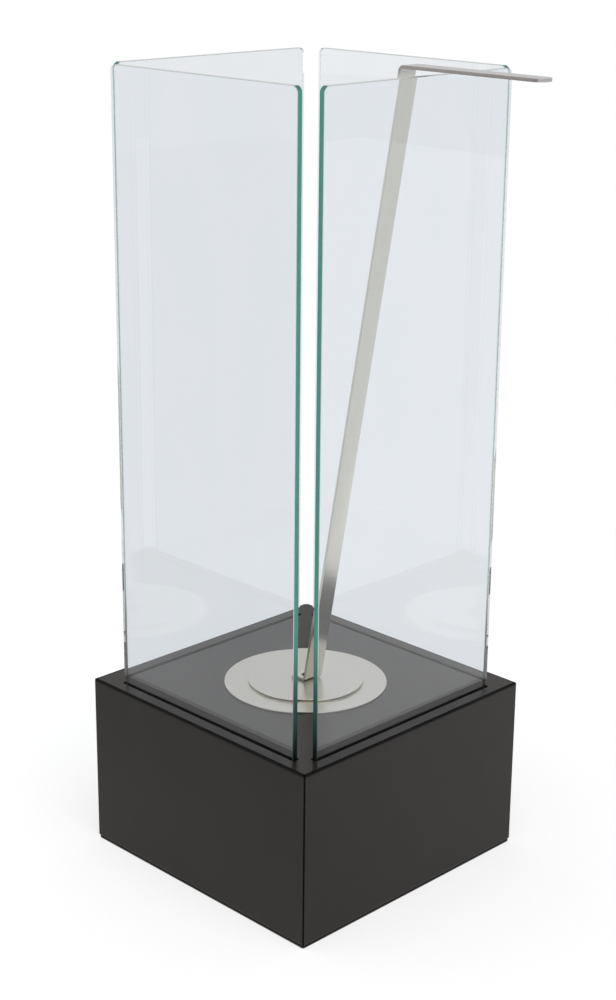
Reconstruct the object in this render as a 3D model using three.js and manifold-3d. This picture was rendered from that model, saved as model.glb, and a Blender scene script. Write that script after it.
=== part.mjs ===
// Bioethanol fireplace: a square black steel base, four clear glass panes that stand
// in slots round the fire, a round stainless burner with a lid, and a long flat
// snuffer tool whose forked foot hooks under a stud on the lid.
//
// Millimetres, +Z up. The origin is the middle of the underside. The two sides that
// face the viewer are front_left (-Y) and front_right (+X).

import * as THREE from 'three';
import { mergeVertices } from 'three/addons/utils/BufferGeometryUtils.js';
import Module from 'manifold-3d';

const wasm = await Module();
wasm.setup();

// ---------- driving dimensions ----------

const TOUCH_GAP = 0.3; // left between two pieces that rest on each other

const BASE_SIDE = 300;
const BASE_HEIGHT = 178;
const SHEET = 1.5; // side panels, channels, flange
const TOP_PLATE_THICKNESS = 3;
const BOTTOM_PLATE_THICKNESS = 2;
const TOP_SEAM = 1; // between the top plate and the panels round it
const CORNER_SEAM = 0.9; // each panel stops this short of the corner
const BOTTOM_SETBACK = 0.8; // bottom plate inside the panels' outer faces
const TOP_PLATE_CORNER = 1;
const BOTTOM_PLATE_CORNER = 2;
const PANEL_LIP = 15;
const PANEL_BEND = 2.5;

const GLASS_THICKNESS = 6;
const GLASS_WIDTH = 240;
const GLASS_INSET = 14.4; // outer glass face to the base's outer face
const GLASS_TOP = 783;
const GLASS_DEPTH_IN_SLOT = 25;
const GLASS_CORNER = 6;
const SLOT_WIDTH = 9.4;
const SLOT_LENGTH = 245;
const SLOT_CORNER = 1.5;

const CHANNEL_FLANGE = 3.5; // short, so that neighbours clear each other at the corners
const CUSHION_LEG = 1.2;
const CUSHION_FLOOR = 1.9;
const CUSHION_TOP = 170;
const CUSHION_PLAY = 0.2;

const POST_LEG = 22;
const POST_THICKNESS = 2;
const POST_TAB_DROP = 1; // the tab lies this far under the post's top end
const STUD_FROM_CORNER = 11.5; // from the post's outer faces to the welded stud
const STUD_RADIUS = 2;
const STUD_LENGTH = 9;
const NUT_FLATS = 7;
const NUT_THICKNESS = 3.2;

const SCREW_RADIUS = 1.5;
const SCREW_HEAD_RADIUS = 2.85;
const SCREW_HEAD_HEIGHT = 1.35;
const SCREW_TOP = 8;
const SCREW_TIP_LENGTH = 1;
const SCREW_TIP_RADIUS = 0.9;
const SCREW_RECESS = 0.15;
const SCREW_OFFSET = 90; // along each side, from its middle
const SCREW_FROM_FACE = 9;

const CUTOUT_RADIUS = 58; // hole in the top plate for the burner
const FLANGE_RADIUS = 79;
const FLANGE_EDGE_WIDTH = 0.8; // its rim is dressed off by this much
const FLANGE_EDGE_HEIGHT = 0.5;
const MOUTH_RADIUS = 48;
const CAN_RADIUS = 56;
const CAN_WALL = 1.2;
const CAN_BOTTOM = 90;
const CAN_BEND = 4;
const WOOL_RADIUS = 54.2;
const WOOL_TOP = 165;
const SCREEN_THICKNESS = 1;
const SCREEN_HOLE_RADIUS = 3.4;
const SCREEN_RING_PITCH = 13;
const SCREEN_RINGS = 3;
const SCREEN_HOLES_PER_RING = 6; // more in each ring further out
const SCREEN_HOLE_SIDES = 8;

const LID_RADIUS = 55.3;
const LID_THICKNESS = 2;
const LID_EDGE = 0.4; // chamfer round its top
const SKIRT_RADIUS = 47;
const SKIRT_WALL = 1.5;
const SKIRT_HEIGHT = 6.5;

const HOOK_STUD_X = -1.5;
const HOOK_NECK_RADIUS = 2;
const HOOK_NECK_HEIGHT = 3.5;
const HOOK_HEAD_RADIUS = 4;
const HOOK_HEAD_HEIGHT = 1.7;
const HOOK_HEAD_EDGE = 0.5;
const RIVET_RADIUS = 1.5;
const RIVET_HEAD_RADIUS = 3;
const RIVET_HEAD_HEIGHT = 2;

const TOOL_WIDTH = 20;
const TOOL_THICKNESS = 3;
const TOOL_TOP = 792;
const TOOL_TIP_X = 271.5;
const TOOL_FOOT_X = -7;
const TOOL_HEEL_X = 7.9; // middle line of the strip, at the foot
const TOOL_LEAN = THREE.MathUtils.degToRad(10.23);
const TOOL_FOOT_BEND = 3;
const TOOL_TOP_BEND = 4;
const FORK_SLOT_RADIUS = 2.5;
const FORK_SLOT_X = -1.2; // middle of the slot's round end

const ROUND = 64; // sides of a large circle
const SMALL_ROUND = 16;
const BEND_STEPS = 4;
const TIP_STEPS = 16; // round the end of the handle
const FORK_STEPS = 12; // round the end of the fork's slot
const NUT_SIDES = 6;

const MERGE_DISTANCE = 1e-4;
const OVERLAP = 1; // how far a cutter or a joined solid reaches past a face

// ---------- worked out from them ----------

const HALF = BASE_SIDE / 2;
const PLATE_UNDERSIDE = BASE_HEIGHT - TOP_PLATE_THICKNESS;
const POST_TAB_TOP = PLATE_UNDERSIDE - TOUCH_GAP - POST_TAB_DROP;
const PANEL_BOTTOM = BOTTOM_PLATE_THICKNESS + TOUCH_GAP;
const GLASS_BOTTOM = BASE_HEIGHT - GLASS_DEPTH_IN_SLOT;
const GLASS_MIDDLE = HALF - GLASS_INSET - GLASS_THICKNESS / 2;
const FLANGE_BOTTOM = BASE_HEIGHT + TOUCH_GAP;
const FLANGE_TOP = FLANGE_BOTTOM + SHEET;
const LID_BOTTOM = FLANGE_TOP + TOUCH_GAP;
const LID_TOP = LID_BOTTOM + LID_THICKNESS;

// ---------- materials ----------

function finish(color, roughness, metalness, extra = {}) {
	return new THREE.MeshStandardMaterial({ color, roughness, metalness, ...extra });
}

const blackCoat = finish(0x2b2928, 0.55, 0.1);
const zincSteel = finish(0x8d9094, 0.45, 0.9);
const clearGlass = finish(0xdfe9e6, 0.05, 0, { transparent: true, opacity: 0.3 });
const silicone = finish(0x151515, 0.7, 0);
const stainless = finish(0xbcbab8, 0.32, 1);
const ceramicWool = finish(0xe9e5dc, 0.95, 0);
const screwSteel = finish(0x35353a, 0.4, 0.9);

// ---------- solids ----------

// A manifold solid from any closed three.js geometry.
function solidFrom(geometry) {
	const bare = geometry.clone();
	bare.deleteAttribute('normal');
	bare.deleteAttribute('uv');
	const merged = mergeVertices(bare, MERGE_DISTANCE);
	const index = merged.index.array;
	const corners = [];
	for (let i = 0; i < index.length; i += 3) {
		const [a, b, c] = [index[i], index[i + 1], index[i + 2]];
		if (a !== b && b !== c && c !== a) corners.push(a, b, c);
	}
	return new wasm.Manifold(new wasm.Mesh({
		numProp: 3,
		vertProperties: new Float32Array(merged.attributes.position.array),
		triVerts: new Uint32Array(corners),
	}));
}

function geometryFrom(solid) {
	const { vertProperties, triVerts } = solid.getMesh();
	const geometry = new THREE.BufferGeometry();
	geometry.setAttribute('position', new THREE.BufferAttribute(vertProperties, 3));
	geometry.setIndex(new THREE.BufferAttribute(triVerts, 1));
	const faceted = geometry.toNonIndexed();
	faceted.computeVertexNormals();
	return faceted;
}

// A flat outline standing on z = bottom, with holes.
function slab(outline, bottom, top, holes = []) {
	const shape = new THREE.Shape(outline);
	shape.holes = holes.map((points) => new THREE.Path(points));
	const geometry = new THREE.ExtrudeGeometry(shape, { depth: top - bottom, bevelEnabled: false });
	return solidFrom(geometry.translate(0, 0, bottom));
}

// A section in the YZ plane, run along X between -half and +half.
function beam(section, half) {
	const shape = new THREE.Shape(section);
	const geometry = new THREE.ExtrudeGeometry(shape, { depth: 2 * half, bevelEnabled: false });
	geometry.translate(0, 0, -half);
	// local (x, y, z) becomes world (z, x, y)
	geometry.applyMatrix4(new THREE.Matrix4().set(0, 0, 1, 0, 1, 0, 0, 0, 0, 1, 0, 0, 0, 0, 0, 1));
	return solidFrom(geometry);
}

// A profile of [radius, z] points, listed from the bottom round the outside, turned
// about the Z axis. It starts and ends on the axis, or on the same point for a ring.
function turned(profile, sides = ROUND) {
	const points = profile.map(([radius, z]) => new THREE.Vector2(radius, z));
	const geometry = new THREE.LatheGeometry(points, sides);
	return solidFrom(geometry.rotateX(Math.PI / 2));
}

function rod(radius, bottom, top, sides = SMALL_ROUND) {
	return turned([[0, bottom], [radius, bottom], [radius, top], [0, top]], sides);
}

// A rectangle about (x, y) with rounded corners, as a list of points.
function rectangle(width, depth, corner = 0, x = 0, y = 0) {
	const points = [];
	for (let quarter = 0; quarter < 4; quarter++) {
		const sx = quarter === 0 || quarter === 3 ? 1 : -1;
		const sy = quarter < 2 ? 1 : -1;
		const cx = x + sx * (width / 2 - corner);
		const cy = y + sy * (depth / 2 - corner);
		const steps = corner > 0 ? BEND_STEPS : 0;
		for (let step = 0; step <= steps; step++) {
			const angle = (quarter + (steps ? step / steps : 0)) * Math.PI / 2;
			points.push(new THREE.Vector2(cx + corner * Math.cos(angle), cy + corner * Math.sin(angle)));
		}
	}
	return points;
}

function circle(radius, sides, x = 0, y = 0) {
	return Array.from({ length: sides }, (_, i) => {
		const angle = (i / sides) * 2 * Math.PI;
		return new THREE.Vector2(x + radius * Math.cos(angle), y + radius * Math.sin(angle));
	});
}

// Points of an arc in a section, from one angle to another, in degrees.
function arc(cx, cy, radius, from, to, steps = BEND_STEPS) {
	return Array.from({ length: steps + 1 }, (_, i) => {
		const angle = THREE.MathUtils.degToRad(from + ((to - from) * i) / steps);
		return new THREE.Vector2(cx + radius * Math.cos(angle), cy + radius * Math.sin(angle));
	});
}

const group = new THREE.Group();

function add(name, solid, material, quarterTurns = 0) {
	const mesh = new THREE.Mesh(geometryFrom(solid), material);
	mesh.name = name;
	mesh.rotation.z = quarterTurns * Math.PI / 2;
	group.add(mesh);
}

// One piece for each side, or for each corner, of the base. The solid is made for
// the front_left side, or the front corner, and turned by quarters.
const SIDES = ['front_left', 'front_right', 'back_right', 'back_left'];
const CORNERS = ['front', 'right', 'back', 'left'];

function addRound(prefix, places, solid, material) {
	places.forEach((place, turns) => add(`${prefix}_${place}`, solid, material, turns));
}

// ---------- base ----------

// A folded sheet: a skin with a lip turned inwards at the foot, its ends mitred
// behind the corner seam, and two screw holes in the lip.
function sidePanel() {
	const outerBend = arc(PANEL_BEND, PANEL_BOTTOM + PANEL_BEND, PANEL_BEND, 180, 270);
	const innerBend = arc(PANEL_BEND, PANEL_BOTTOM + PANEL_BEND, PANEL_BEND - SHEET, 270, 180);
	// depth in from the outer face, height
	const section = [
		new THREE.Vector2(0, BASE_HEIGHT),
		...outerBend,
		new THREE.Vector2(PANEL_LIP, PANEL_BOTTOM),
		new THREE.Vector2(PANEL_LIP, PANEL_BOTTOM + SHEET),
		...innerBend,
		new THREE.Vector2(SHEET, BASE_HEIGHT),
	];
	const positions = [];
	for (const end of [-1, 1]) {
		for (const { x: depth, y: height } of section) {
			positions.push(end * (HALF - CORNER_SEAM - depth), depth - HALF, height);
		}
	}
	const count = section.length;
	const index = [];
	for (let i = 0; i < count; i++) {
		const j = (i + 1) % count;
		index.push(i, j, count + j, i, count + j, count + i);
	}
	for (const [a, b, c] of THREE.ShapeUtils.triangulateShape(section, [])) {
		index.push(a, c, b, count + a, count + b, count + c);
	}
	const geometry = new THREE.BufferGeometry();
	geometry.setAttribute('position', new THREE.Float32BufferAttribute(positions, 3));
	geometry.setIndex(index);
	let panel = solidFrom(geometry);
	for (const x of [-SCREW_OFFSET, SCREW_OFFSET]) {
		const hole = rod(SCREW_RADIUS + TOUCH_GAP, 0, SCREW_TOP);
		panel = panel.subtract(hole.translate([x, SCREW_FROM_FACE - HALF, 0]));
	}
	return panel;
}

addRound('side_panel', SIDES, sidePanel(), blackCoat);

function sideSlots() {
	const slot = [];
	for (const side of [-1, 1]) {
		slot.push(rectangle(SLOT_LENGTH, SLOT_WIDTH, SLOT_CORNER, 0, side * GLASS_MIDDLE));
		slot.push(rectangle(SLOT_WIDTH, SLOT_LENGTH, SLOT_CORNER, side * GLASS_MIDDLE, 0));
	}
	return slot;
}

// The middle of each corner post, where the top plate's welded studs come down.
const POST_MIDDLE = HALF - SHEET - TOUCH_GAP - STUD_FROM_CORNER;

function topPlate() {
	const side = BASE_SIDE - 2 * (SHEET + TOP_SEAM);
	const holes = [...sideSlots(), circle(CUTOUT_RADIUS, ROUND)];
	let plate = slab(rectangle(side, side, TOP_PLATE_CORNER), PLATE_UNDERSIDE, BASE_HEIGHT, holes);
	const stud = rod(STUD_RADIUS, PLATE_UNDERSIDE - STUD_LENGTH, PLATE_UNDERSIDE + OVERLAP);
	for (const x of [-POST_MIDDLE, POST_MIDDLE]) {
		for (const y of [-POST_MIDDLE, POST_MIDDLE]) {
			plate = plate.add(stud.translate([x, y, 0]));
		}
	}
	return plate;
}

add('top_plate', topPlate(), blackCoat);

function countersunkHole() {
	const radius = SCREW_RADIUS + TOUCH_GAP;
	const mouth = SCREW_HEAD_RADIUS + TOUCH_GAP + SCREW_RECESS;
	return turned([
		[0, -OVERLAP],
		[mouth, -OVERLAP],
		[mouth, 0],
		[radius, SCREW_HEAD_HEIGHT + SCREW_RECESS],
		[radius, SCREW_TOP],
		[0, SCREW_TOP],
	], SMALL_ROUND);
}

function screwPlaces() {
	const reach = HALF - SCREW_FROM_FACE;
	const places = [];
	for (let side = 0; side < SIDES.length; side++) {
		const angle = side * Math.PI / 2;
		for (const along of [-SCREW_OFFSET, SCREW_OFFSET]) {
			const place = new THREE.Vector2(along, -reach);
			places.push(place.rotateAround(new THREE.Vector2(), angle));
		}
	}
	return places;
}

function bottomPlate() {
	const side = BASE_SIDE - 2 * BOTTOM_SETBACK;
	let plate = slab(rectangle(side, side, BOTTOM_PLATE_CORNER), 0, BOTTOM_PLATE_THICKNESS);
	const hole = countersunkHole();
	for (const { x, y } of screwPlaces()) {
		plate = plate.subtract(hole.translate([x, y, 0]));
	}
	return plate;
}

add('bottom_plate', bottomPlate(), blackCoat);

const bottomScrew = turned([
	[0, SCREW_RECESS],
	[SCREW_HEAD_RADIUS, SCREW_RECESS],
	[SCREW_RADIUS, SCREW_RECESS + SCREW_HEAD_HEIGHT],
	[SCREW_RADIUS, SCREW_TOP - SCREW_TIP_LENGTH],
	[SCREW_TIP_RADIUS, SCREW_TOP],
	[0, SCREW_TOP],
], SMALL_ROUND);

screwPlaces().forEach(({ x, y }, i) => {
	add(`bottom_screw_${i + 1}`, bottomScrew.translate([x, y, 0]), screwSteel);
});

// An angle that stands in the corner on the panels' lips, joins the two panels and
// carries the top plate on a tab.
function cornerPost() {
	const outer = HALF - SHEET - TOUCH_GAP;
	const inner = outer - POST_LEG;
	const bottom = PANEL_BOTTOM + SHEET + TOUCH_GAP;
	const top = PLATE_UNDERSIDE - TOUCH_GAP;
	const angle = [
		new THREE.Vector2(inner, -outer),
		new THREE.Vector2(outer, -outer),
		new THREE.Vector2(outer, -inner),
		new THREE.Vector2(outer - POST_THICKNESS, -inner),
		new THREE.Vector2(outer - POST_THICKNESS, -outer + POST_THICKNESS),
		new THREE.Vector2(inner, -outer + POST_THICKNESS),
	];
	// the tab ends inside the thickness of both legs
	const tabSide = POST_LEG - POST_THICKNESS / 2;
	const tabMiddle = inner + tabSide / 2;
	const tab = rectangle(tabSide, tabSide, 0, tabMiddle, -tabMiddle);
	const hole = circle(STUD_RADIUS + TOUCH_GAP, SMALL_ROUND, POST_MIDDLE, -POST_MIDDLE);
	const tabPlate = slab(tab, POST_TAB_TOP - POST_THICKNESS, POST_TAB_TOP, [hole]);
	return slab(angle, bottom, top).add(tabPlate);
}

addRound('corner_post', CORNERS, cornerPost(), zincSteel);

function postNut() {
	const top = POST_TAB_TOP - POST_THICKNESS - TOUCH_GAP;
	const outline = circle(NUT_FLATS / Math.sqrt(3), NUT_SIDES, POST_MIDDLE, -POST_MIDDLE);
	const hole = circle(STUD_RADIUS + TOUCH_GAP, SMALL_ROUND, POST_MIDDLE, -POST_MIDDLE);
	return slab(outline, top - NUT_THICKNESS, top, [hole]);
}

addRound('post_nut', CORNERS, postNut(), screwSteel);

// ---------- glass ----------

// A hat-shaped channel under the slot: its flanges are welded to the plate, and the
// glass stands in it.
function glassChannel() {
	const inside = SLOT_WIDTH / 2;
	const outside = inside + SHEET;
	const flange = outside + CHANNEL_FLANGE;
	const top = PLATE_UNDERSIDE - TOUCH_GAP;
	const floor = GLASS_BOTTOM - CUSHION_FLOOR - 2 * TOUCH_GAP;
	const half = [
		[flange, top - SHEET],
		[flange, top],
		[inside, top],
		[inside, floor],
	];
	const halfBelow = [
		[outside, floor - SHEET],
		[outside, top - SHEET],
	];
	const mirrored = (points) => points.map(([y, z]) => [-y, z]).reverse();
	const section = [...half, ...mirrored(half), ...mirrored(halfBelow), ...halfBelow];
	const placed = section.map(([y, z]) => new THREE.Vector2(y - GLASS_MIDDLE, z));
	return beam(placed, SLOT_LENGTH / 2);
}

addRound('glass_channel', SIDES, glassChannel(), zincSteel);

// A soft U-shaped strip that keeps the glass off the steel.
function glassCushion() {
	const inside = GLASS_THICKNESS / 2 + CUSHION_PLAY;
	const outside = inside + CUSHION_LEG;
	const floor = GLASS_BOTTOM - TOUCH_GAP;
	const section = [
		[outside, floor - CUSHION_FLOOR],
		[outside, CUSHION_TOP],
		[inside, CUSHION_TOP],
		[inside, floor],
		[-inside, floor],
		[-inside, CUSHION_TOP],
		[-outside, CUSHION_TOP],
		[-outside, floor - CUSHION_FLOOR],
	];
	const placed = section.map(([y, z]) => new THREE.Vector2(y - GLASS_MIDDLE, z));
	return beam(placed, GLASS_WIDTH / 2);
}

addRound('glass_cushion', SIDES, glassCushion(), silicone);

function glassPane() {
	const half = GLASS_WIDTH / 2;
	const outline = [
		new THREE.Vector2(-half, GLASS_BOTTOM),
		new THREE.Vector2(half, GLASS_BOTTOM),
		...arc(half - GLASS_CORNER, GLASS_TOP - GLASS_CORNER, GLASS_CORNER, 0, 90),
		...arc(GLASS_CORNER - half, GLASS_TOP - GLASS_CORNER, GLASS_CORNER, 90, 180),
	];
	const geometry = new THREE.ExtrudeGeometry(new THREE.Shape(outline), {
		depth: GLASS_THICKNESS,
		bevelEnabled: false,
	});
	geometry.rotateX(Math.PI / 2);
	return solidFrom(geometry.translate(0, GLASS_THICKNESS / 2 - GLASS_MIDDLE, 0));
}

addRound('glass_pane', SIDES, glassPane(), clearGlass);

// ---------- burner ----------

const burnerFlange = turned([
	[MOUTH_RADIUS, FLANGE_BOTTOM],
	[FLANGE_RADIUS, FLANGE_BOTTOM],
	[FLANGE_RADIUS, FLANGE_TOP - FLANGE_EDGE_HEIGHT],
	[FLANGE_RADIUS - FLANGE_EDGE_WIDTH, FLANGE_TOP],
	[MOUTH_RADIUS, FLANGE_TOP],
	[MOUTH_RADIUS, FLANGE_BOTTOM],
]);

add('burner_flange', burnerFlange, stainless);

// The fuel can hangs from the flange, through the hole in the top plate.
function burnerCan() {
	const inside = CAN_RADIUS - CAN_WALL;
	const outerBend = arc(CAN_RADIUS - CAN_BEND, CAN_BOTTOM + CAN_BEND, CAN_BEND, -90, 0);
	const innerBend = arc(CAN_RADIUS - CAN_BEND, CAN_BOTTOM + CAN_BEND, CAN_BEND - CAN_WALL, 0, -90);
	const pairs = (points) => points.map(({ x, y }) => [x, y]);
	return turned([
		[0, CAN_BOTTOM],
		...pairs(outerBend),
		[CAN_RADIUS, BASE_HEIGHT],
		[inside, BASE_HEIGHT],
		...pairs(innerBend),
		[0, CAN_BOTTOM + CAN_WALL],
	]);
}

add('burner_can', burnerCan(), stainless);

// Ceramic wool soaks up the fuel, under a perforated screen.
function woolPad() {
	const bottom = CAN_BOTTOM + CAN_WALL + TOUCH_GAP;
	return turned([
		[0, bottom],
		[WOOL_RADIUS - CAN_BEND, bottom],
		[WOOL_RADIUS, bottom + CAN_BEND],
		[WOOL_RADIUS, WOOL_TOP],
		[0, WOOL_TOP],
	]);
}

add('burner_wool', woolPad(), ceramicWool);

function burnerScreen() {
	const bottom = WOOL_TOP + TOUCH_GAP;
	const holes = [circle(SCREEN_HOLE_RADIUS, SCREEN_HOLE_SIDES)];
	for (let ring = 1; ring <= SCREEN_RINGS; ring++) {
		const count = SCREEN_HOLES_PER_RING * ring;
		for (const { x, y } of circle(ring * SCREEN_RING_PITCH, count)) {
			holes.push(circle(SCREEN_HOLE_RADIUS, SCREEN_HOLE_SIDES, x, y));
		}
	}
	return slab(circle(WOOL_RADIUS, ROUND), bottom, bottom + SCREEN_THICKNESS, holes);
}

add('burner_screen', burnerScreen(), stainless);

// ---------- lid ----------

function lidDisc() {
	const disc = turned([
		[0, LID_BOTTOM],
		[LID_RADIUS, LID_BOTTOM],
		[LID_RADIUS, LID_TOP - LID_EDGE],
		[LID_RADIUS - LID_EDGE, LID_TOP],
		[0, LID_TOP],
	]);
	const hole = rod(RIVET_RADIUS + TOUCH_GAP, LID_BOTTOM - OVERLAP, LID_TOP + OVERLAP);
	return disc.subtract(hole.translate([HOOK_STUD_X, 0, 0]));
}

add('lid_disc', lidDisc(), stainless);

// A ring under the lid that drops into the burner's mouth.
function lidSkirt() {
	const top = LID_BOTTOM - TOUCH_GAP;
	const bottom = top - SKIRT_HEIGHT;
	return turned([
		[SKIRT_RADIUS - SKIRT_WALL, bottom],
		[SKIRT_RADIUS, bottom],
		[SKIRT_RADIUS, top],
		[SKIRT_RADIUS - SKIRT_WALL, top],
		[SKIRT_RADIUS - SKIRT_WALL, bottom],
	]);
}

add('lid_skirt', lidSkirt(), stainless);

// A headed stud, riveted through the lid, which the tool's fork slides under.
function hookStud() {
	const neckBottom = LID_TOP + TOUCH_GAP;
	const headBottom = neckBottom + HOOK_NECK_HEIGHT;
	const headTop = headBottom + HOOK_HEAD_HEIGHT;
	const rivetTop = LID_BOTTOM - TOUCH_GAP;
	const rivetBottom = rivetTop - RIVET_HEAD_HEIGHT;
	const stud = turned([
		[0, rivetBottom],
		[RIVET_HEAD_RADIUS, rivetBottom],
		[RIVET_HEAD_RADIUS, rivetTop],
		[RIVET_RADIUS, rivetTop],
		[RIVET_RADIUS, neckBottom],
		[HOOK_NECK_RADIUS, neckBottom],
		[HOOK_NECK_RADIUS, headBottom],
		[HOOK_HEAD_RADIUS, headBottom],
		[HOOK_HEAD_RADIUS, headTop - HOOK_HEAD_EDGE],
		[HOOK_HEAD_RADIUS - HOOK_HEAD_EDGE, headTop],
		[0, headTop],
	], SMALL_ROUND);
	return stud.translate([HOOK_STUD_X, 0, 0]);
}

add('lid_stud', hookStud(), stainless);

// ---------- snuffer tool ----------

// The two faces of a strip bent along a middle line in the XZ plane, as one outline.
function bentStripOutline(line, bends, thickness) {
	const half = thickness / 2;
	const left = [];
	const right = [];
	const put = (point, normal) => {
		left.push(point.clone().addScaledVector(normal, half));
		right.push(point.clone().addScaledVector(normal, -half));
	};
	const across = (direction) => new THREE.Vector2(-direction.y, direction.x);
	for (let i = 0; i < line.length; i++) {
		const before = i > 0 ? line[i].clone().sub(line[i - 1]).normalize() : null;
		const after = i < line.length - 1 ? line[i + 1].clone().sub(line[i]).normalize() : null;
		if (!before || !after) {
			put(line[i], across(before || after));
			continue;
		}
		const turn = Math.atan2(before.cross(after), before.dot(after));
		const radius = bends[i - 1];
		const setback = radius * Math.tan(Math.abs(turn) / 2);
		const start = line[i].clone().addScaledVector(before, -setback);
		const centre = start.clone().addScaledVector(across(before), Math.sign(turn) * radius);
		const steps = 2 * BEND_STEPS;
		for (let step = 0; step <= steps; step++) {
			const angle = (turn * step) / steps;
			const point = start.clone().rotateAround(centre, angle);
			put(point, across(before).rotateAround(new THREE.Vector2(), angle));
		}
	}
	return [...left, ...right.reverse()];
}

// A flat bar: a forked foot on the lid, a leaning shaft, and a level handle that
// reaches out over the glass to a rounded tip.
function snufferTool() {
	const footHeight = LID_TOP + TOUCH_GAP + TOOL_THICKNESS / 2;
	const handleHeight = TOOL_TOP - TOOL_THICKNESS / 2;
	const shoulderX = TOOL_HEEL_X + (handleHeight - footHeight) * Math.tan(TOOL_LEAN);
	const line = [
		new THREE.Vector2(TOOL_FOOT_X, footHeight),
		new THREE.Vector2(TOOL_HEEL_X, footHeight),
		new THREE.Vector2(shoulderX, handleHeight),
		new THREE.Vector2(TOOL_TIP_X, handleHeight),
	];
	const outline = bentStripOutline(line, [TOOL_FOOT_BEND, TOOL_TOP_BEND], TOOL_THICKNESS);
	const geometry = new THREE.ExtrudeGeometry(new THREE.Shape(outline), {
		depth: TOOL_WIDTH,
		bevelEnabled: false,
	});
	geometry.rotateX(Math.PI / 2);
	const strip = solidFrom(geometry.translate(0, TOOL_WIDTH / 2, 0));

	// seen from above, the strip ends in a half round at the tip and a fork at the foot
	const halfWidth = TOOL_WIDTH / 2;
	const plan = [
		new THREE.Vector2(TOOL_FOOT_X, -halfWidth),
		...arc(TOOL_TIP_X - halfWidth, 0, halfWidth, -90, 90, TIP_STEPS),
		new THREE.Vector2(TOOL_FOOT_X, halfWidth),
	];
	const forkSlot = [
		new THREE.Vector2(TOOL_FOOT_X - OVERLAP, -FORK_SLOT_RADIUS),
		...arc(FORK_SLOT_X, 0, FORK_SLOT_RADIUS, -90, 90, FORK_STEPS),
		new THREE.Vector2(TOOL_FOOT_X - OVERLAP, FORK_SLOT_RADIUS),
	];
	const blank = slab(plan, LID_TOP, TOOL_TOP + OVERLAP);
	const notch = slab(forkSlot, LID_TOP, LID_TOP + 2 * TOOL_THICKNESS);
	return strip.intersect(blank).subtract(notch);
}

add('snuffer_tool', snufferTool(), stainless);

export default group;
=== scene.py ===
# %% [markdown]
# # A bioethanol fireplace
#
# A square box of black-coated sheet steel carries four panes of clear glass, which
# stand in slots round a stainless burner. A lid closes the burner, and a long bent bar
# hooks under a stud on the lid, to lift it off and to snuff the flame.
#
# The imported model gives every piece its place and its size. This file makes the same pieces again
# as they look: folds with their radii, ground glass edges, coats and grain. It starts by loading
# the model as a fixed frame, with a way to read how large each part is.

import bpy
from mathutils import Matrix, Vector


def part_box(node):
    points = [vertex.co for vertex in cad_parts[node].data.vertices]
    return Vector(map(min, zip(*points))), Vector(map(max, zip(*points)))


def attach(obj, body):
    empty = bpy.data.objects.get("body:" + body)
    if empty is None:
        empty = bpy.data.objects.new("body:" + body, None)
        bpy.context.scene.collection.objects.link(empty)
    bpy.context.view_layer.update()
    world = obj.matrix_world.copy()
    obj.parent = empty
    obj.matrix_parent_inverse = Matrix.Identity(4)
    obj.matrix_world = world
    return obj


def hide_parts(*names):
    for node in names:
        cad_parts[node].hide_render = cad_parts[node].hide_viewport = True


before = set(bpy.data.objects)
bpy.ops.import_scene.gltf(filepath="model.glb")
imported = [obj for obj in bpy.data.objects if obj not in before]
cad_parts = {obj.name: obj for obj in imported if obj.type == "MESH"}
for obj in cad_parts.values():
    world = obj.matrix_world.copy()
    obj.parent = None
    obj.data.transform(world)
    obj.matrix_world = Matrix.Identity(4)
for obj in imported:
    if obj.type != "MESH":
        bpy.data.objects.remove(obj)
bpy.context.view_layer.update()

# %% [markdown]
# ## Tools used throughout
#
# The model is in metres and a workshop thinks in millimetres, so sizes are written in
# millimetres here and turned into metres once. The other tools repeat what a hand does
# with the mouse: select one piece, go into edit mode, pick faces by where they are, and
# apply a modifier. Everything is deselected first, since an operator acts on all that
# is selected.

# %% Small tools
import math
from contextlib import contextmanager

import bmesh
import bpy
from mathutils import Matrix, Vector

MM = 0.001
TINY = 0.02 * MM  # two places nearer than this are the same
MERGE = TINY / 10  # and two points nearer than this are made one
QUARTER = math.tau / 4
SIDES = ("front_left", "front_right", "back_right", "back_left")
CORNERS = ("front", "right", "back", "left")


def mm(x, y, z):
    """A place given in millimetres."""
    return Vector((x, y, z)) * MM


def box_mm(node):
    """The lowest and highest corner of a node, in millimetres."""
    low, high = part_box(node)
    return low / MM, high / MM


def take(piece):
    """Selects one piece alone, in object mode."""
    if bpy.context.mode != "OBJECT":
        bpy.ops.object.mode_set(mode="OBJECT")
    bpy.ops.object.select_all(action="DESELECT")
    piece.select_set(True)
    bpy.context.view_layer.objects.active = piece
    return piece


def settle(piece):
    """Puts the piece's place, turn and scale into its mesh."""
    take(piece)
    bpy.ops.object.transform_apply(location=True, rotation=True, scale=True)
    return piece


@contextmanager
def editing(piece):
    """Edit mode on one piece, with nothing selected."""
    take(piece)
    bpy.ops.object.mode_set(mode="EDIT")
    bpy.ops.mesh.select_all(action="DESELECT")
    yield
    bpy.ops.object.mode_set(mode="OBJECT")


# %% [markdown]
# ### Picking parts of a mesh
#
# By hand, an edge or a face is clicked on. A script could name it by its number in the
# mesh, but that number changes with every bevel. So parts are found by where they lie
# and which way they run, which still works after a size has changed.

# %% Picking parts of a mesh
PARALLEL = 0.999  # the share of an edge's length that lies along its axis
FACING = 0.9  # the share of a face's normal that points along its axis


def middle(item):
    """The middle of a vertex, an edge or a face."""
    if isinstance(item, bmesh.types.BMVert):
        return item.co
    return sum((v.co for v in item.verts), Vector()) / len(item.verts)


def is_at(item, place):
    """True if the middle of an item is at a place."""
    return (middle(item) - place).length < TINY


def runs_along(edge, axis):
    """True if an edge is parallel to the X, Y or Z axis: 0, 1 or 2."""
    step = edge.verts[1].co - edge.verts[0].co
    return step.length > 0 and abs(step[axis]) > PARALLEL * step.length


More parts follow.
